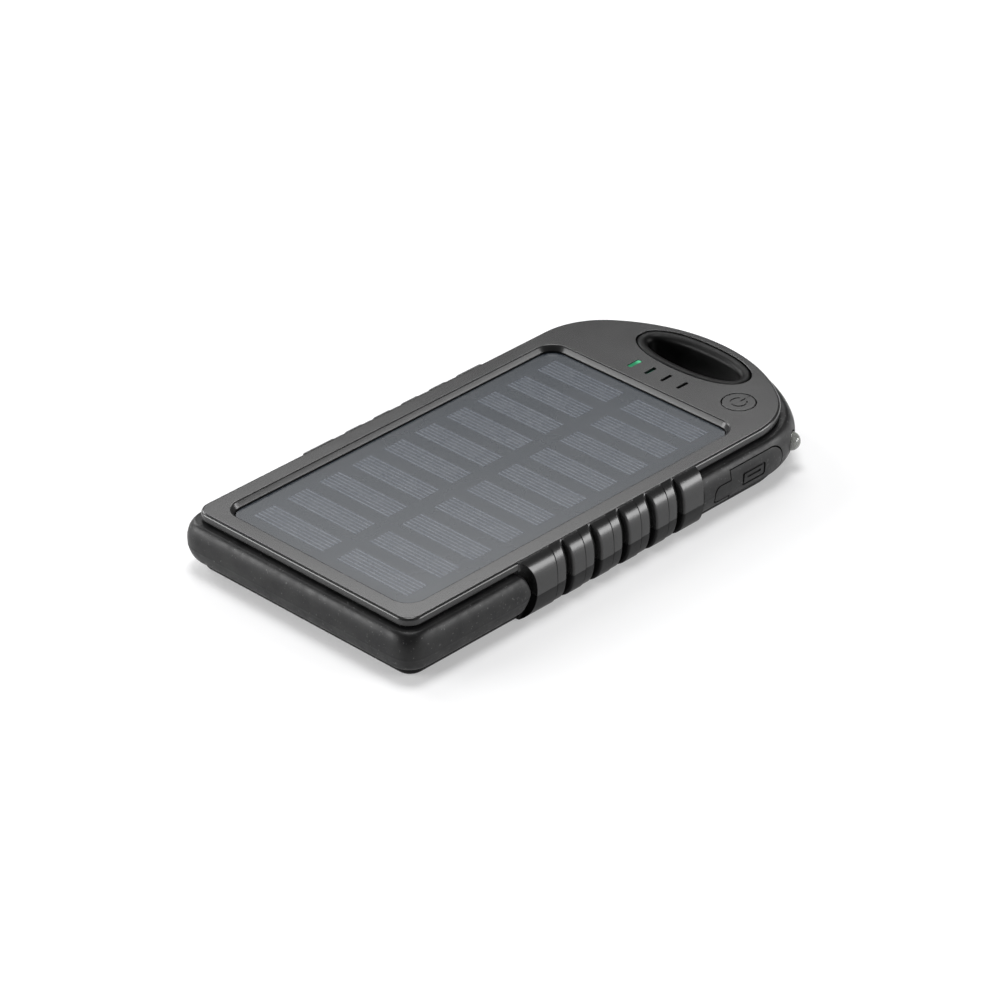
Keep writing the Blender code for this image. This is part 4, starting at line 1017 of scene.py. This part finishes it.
def softbox(name, azimuth, elevation, distance, width, height, radiance):
    """A rectangular light aimed at the charger; azimuth 0 is +X and 90 is +Y."""
    a, e = radians(azimuth), radians(elevation)
    direction = Vector((cos(a) * cos(e), sin(a) * cos(e), sin(e)))
    data = bpy.data.lights.new(name, "AREA")
    data.shape = "RECTANGLE"
    data.size = width
    data.size_y = height
    data.energy = radiance * pi * width * height
    light = bpy.data.objects.new(name, data)
    light.location = direction * distance
    light.rotation_euler = direction.to_track_quat("Z", "Y").to_euler()
    bpy.context.scene.collection.objects.link(light)


def studio(materials):
    scene = bpy.context.scene
    scene.view_settings.view_transform = "Standard"
    world = bpy.data.worlds.new("studio")
    world.use_nodes = True
    background = world.node_tree.nodes["Background"]
    background.inputs["Color"].default_value = (1.0, 1.0, 1.0, 1.0)
    background.inputs["Strength"].default_value = WORLD_LIGHT
    scene.world = world
    for light in SOFTBOXES:
        softbox(*light)
    outline = rounded_rectangle(-FLOOR_HALF, -FLOOR_HALF, FLOOR_HALF, FLOOR_HALF, 100, 8)
    floor = mesh_object("floor", prism(outline, -20.0, -0.02))
    floor.data.materials.append(materials["floor"])


# ---------------------------------------------------------------- assembly

def dress_cad_nodes(materials):
    """Materials for the CAD nodes that stay as they are."""
    finishes = {
        "panel_board": "board", "panel_film": "film", "usb_a_shell": "shell", "micro_usb_shell": "shell",
        "usb_a_tongue": "tongue", "micro_usb_tongue": "tongue", "main_board": "circuit",
        "indicator_board": "circuit", "battery_board": "circuit", "switch_body": "chip",
        "charge_chip": "chip", "switch_stem": "led", "battery_cell": "pouch", "battery_pad": "foam",
        "board_screw_1": "steel", "board_screw_2": "steel", "panel_wire_pos": "wire_red",
        "battery_wire_pos": "wire_red", "panel_wire_neg": "wire_black", "battery_wire_neg": "wire_black",
    }
    finishes.update({name: "cell" for name in CELLS})
    finishes.update({f"status_led_{i}": "led" for i in (1, 2, 3, 4)})
    for name, finish in finishes.items():
        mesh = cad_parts[name].data
        mesh.materials.clear()
        mesh.materials.append(materials[finish])


def assemble(materials):
    finished(front_cover(), materials["plate"], stands_for=["front_cover"])
    finished(back_cover(), materials["grip"], stands_for=["back_cover"])
    finished(bumper_bottom(), materials["rubber"], stands_for=["bumper_bottom"])
    finished(bumper_top(), materials["rubber"], stands_for=["bumper_top"])
    finished(usb_flap(), materials["rubber"], "flap", ["usb_flap"])
    finished(loop_liner(), materials["liner"], stands_for=["loop_liner"])
    finished(power_button(), materials["plate"], "button", ["power_button"])
    for number, name in enumerate(LIGHT_PIPES):
        finish = ("window_lit", "window_faint", "window_dark", "window_dark")[number]
        finished(window(number, name), materials[finish], stands_for=[name])
    finished(torch_lens(), materials["lens"], stands_for=["torch_led"])
    finished(torch_cup(), materials["reflector"])
    finished(torch_chip(), materials["emitter"])
    for number, name in enumerate(COVER_SCREWS):
        finished(cover_screw(number, name), materials["steel"], stands_for=[name])
    for name in CELLS:
        shade, lines = cell_print(name)
        finished(shade, materials["tint"], flat_weight=False)
        finished(lines, materials["finger"], flat_weight=False)


materials = make_materials()
studio(materials)
camera()
dress_cad_nodes(materials)
assemble(materials)
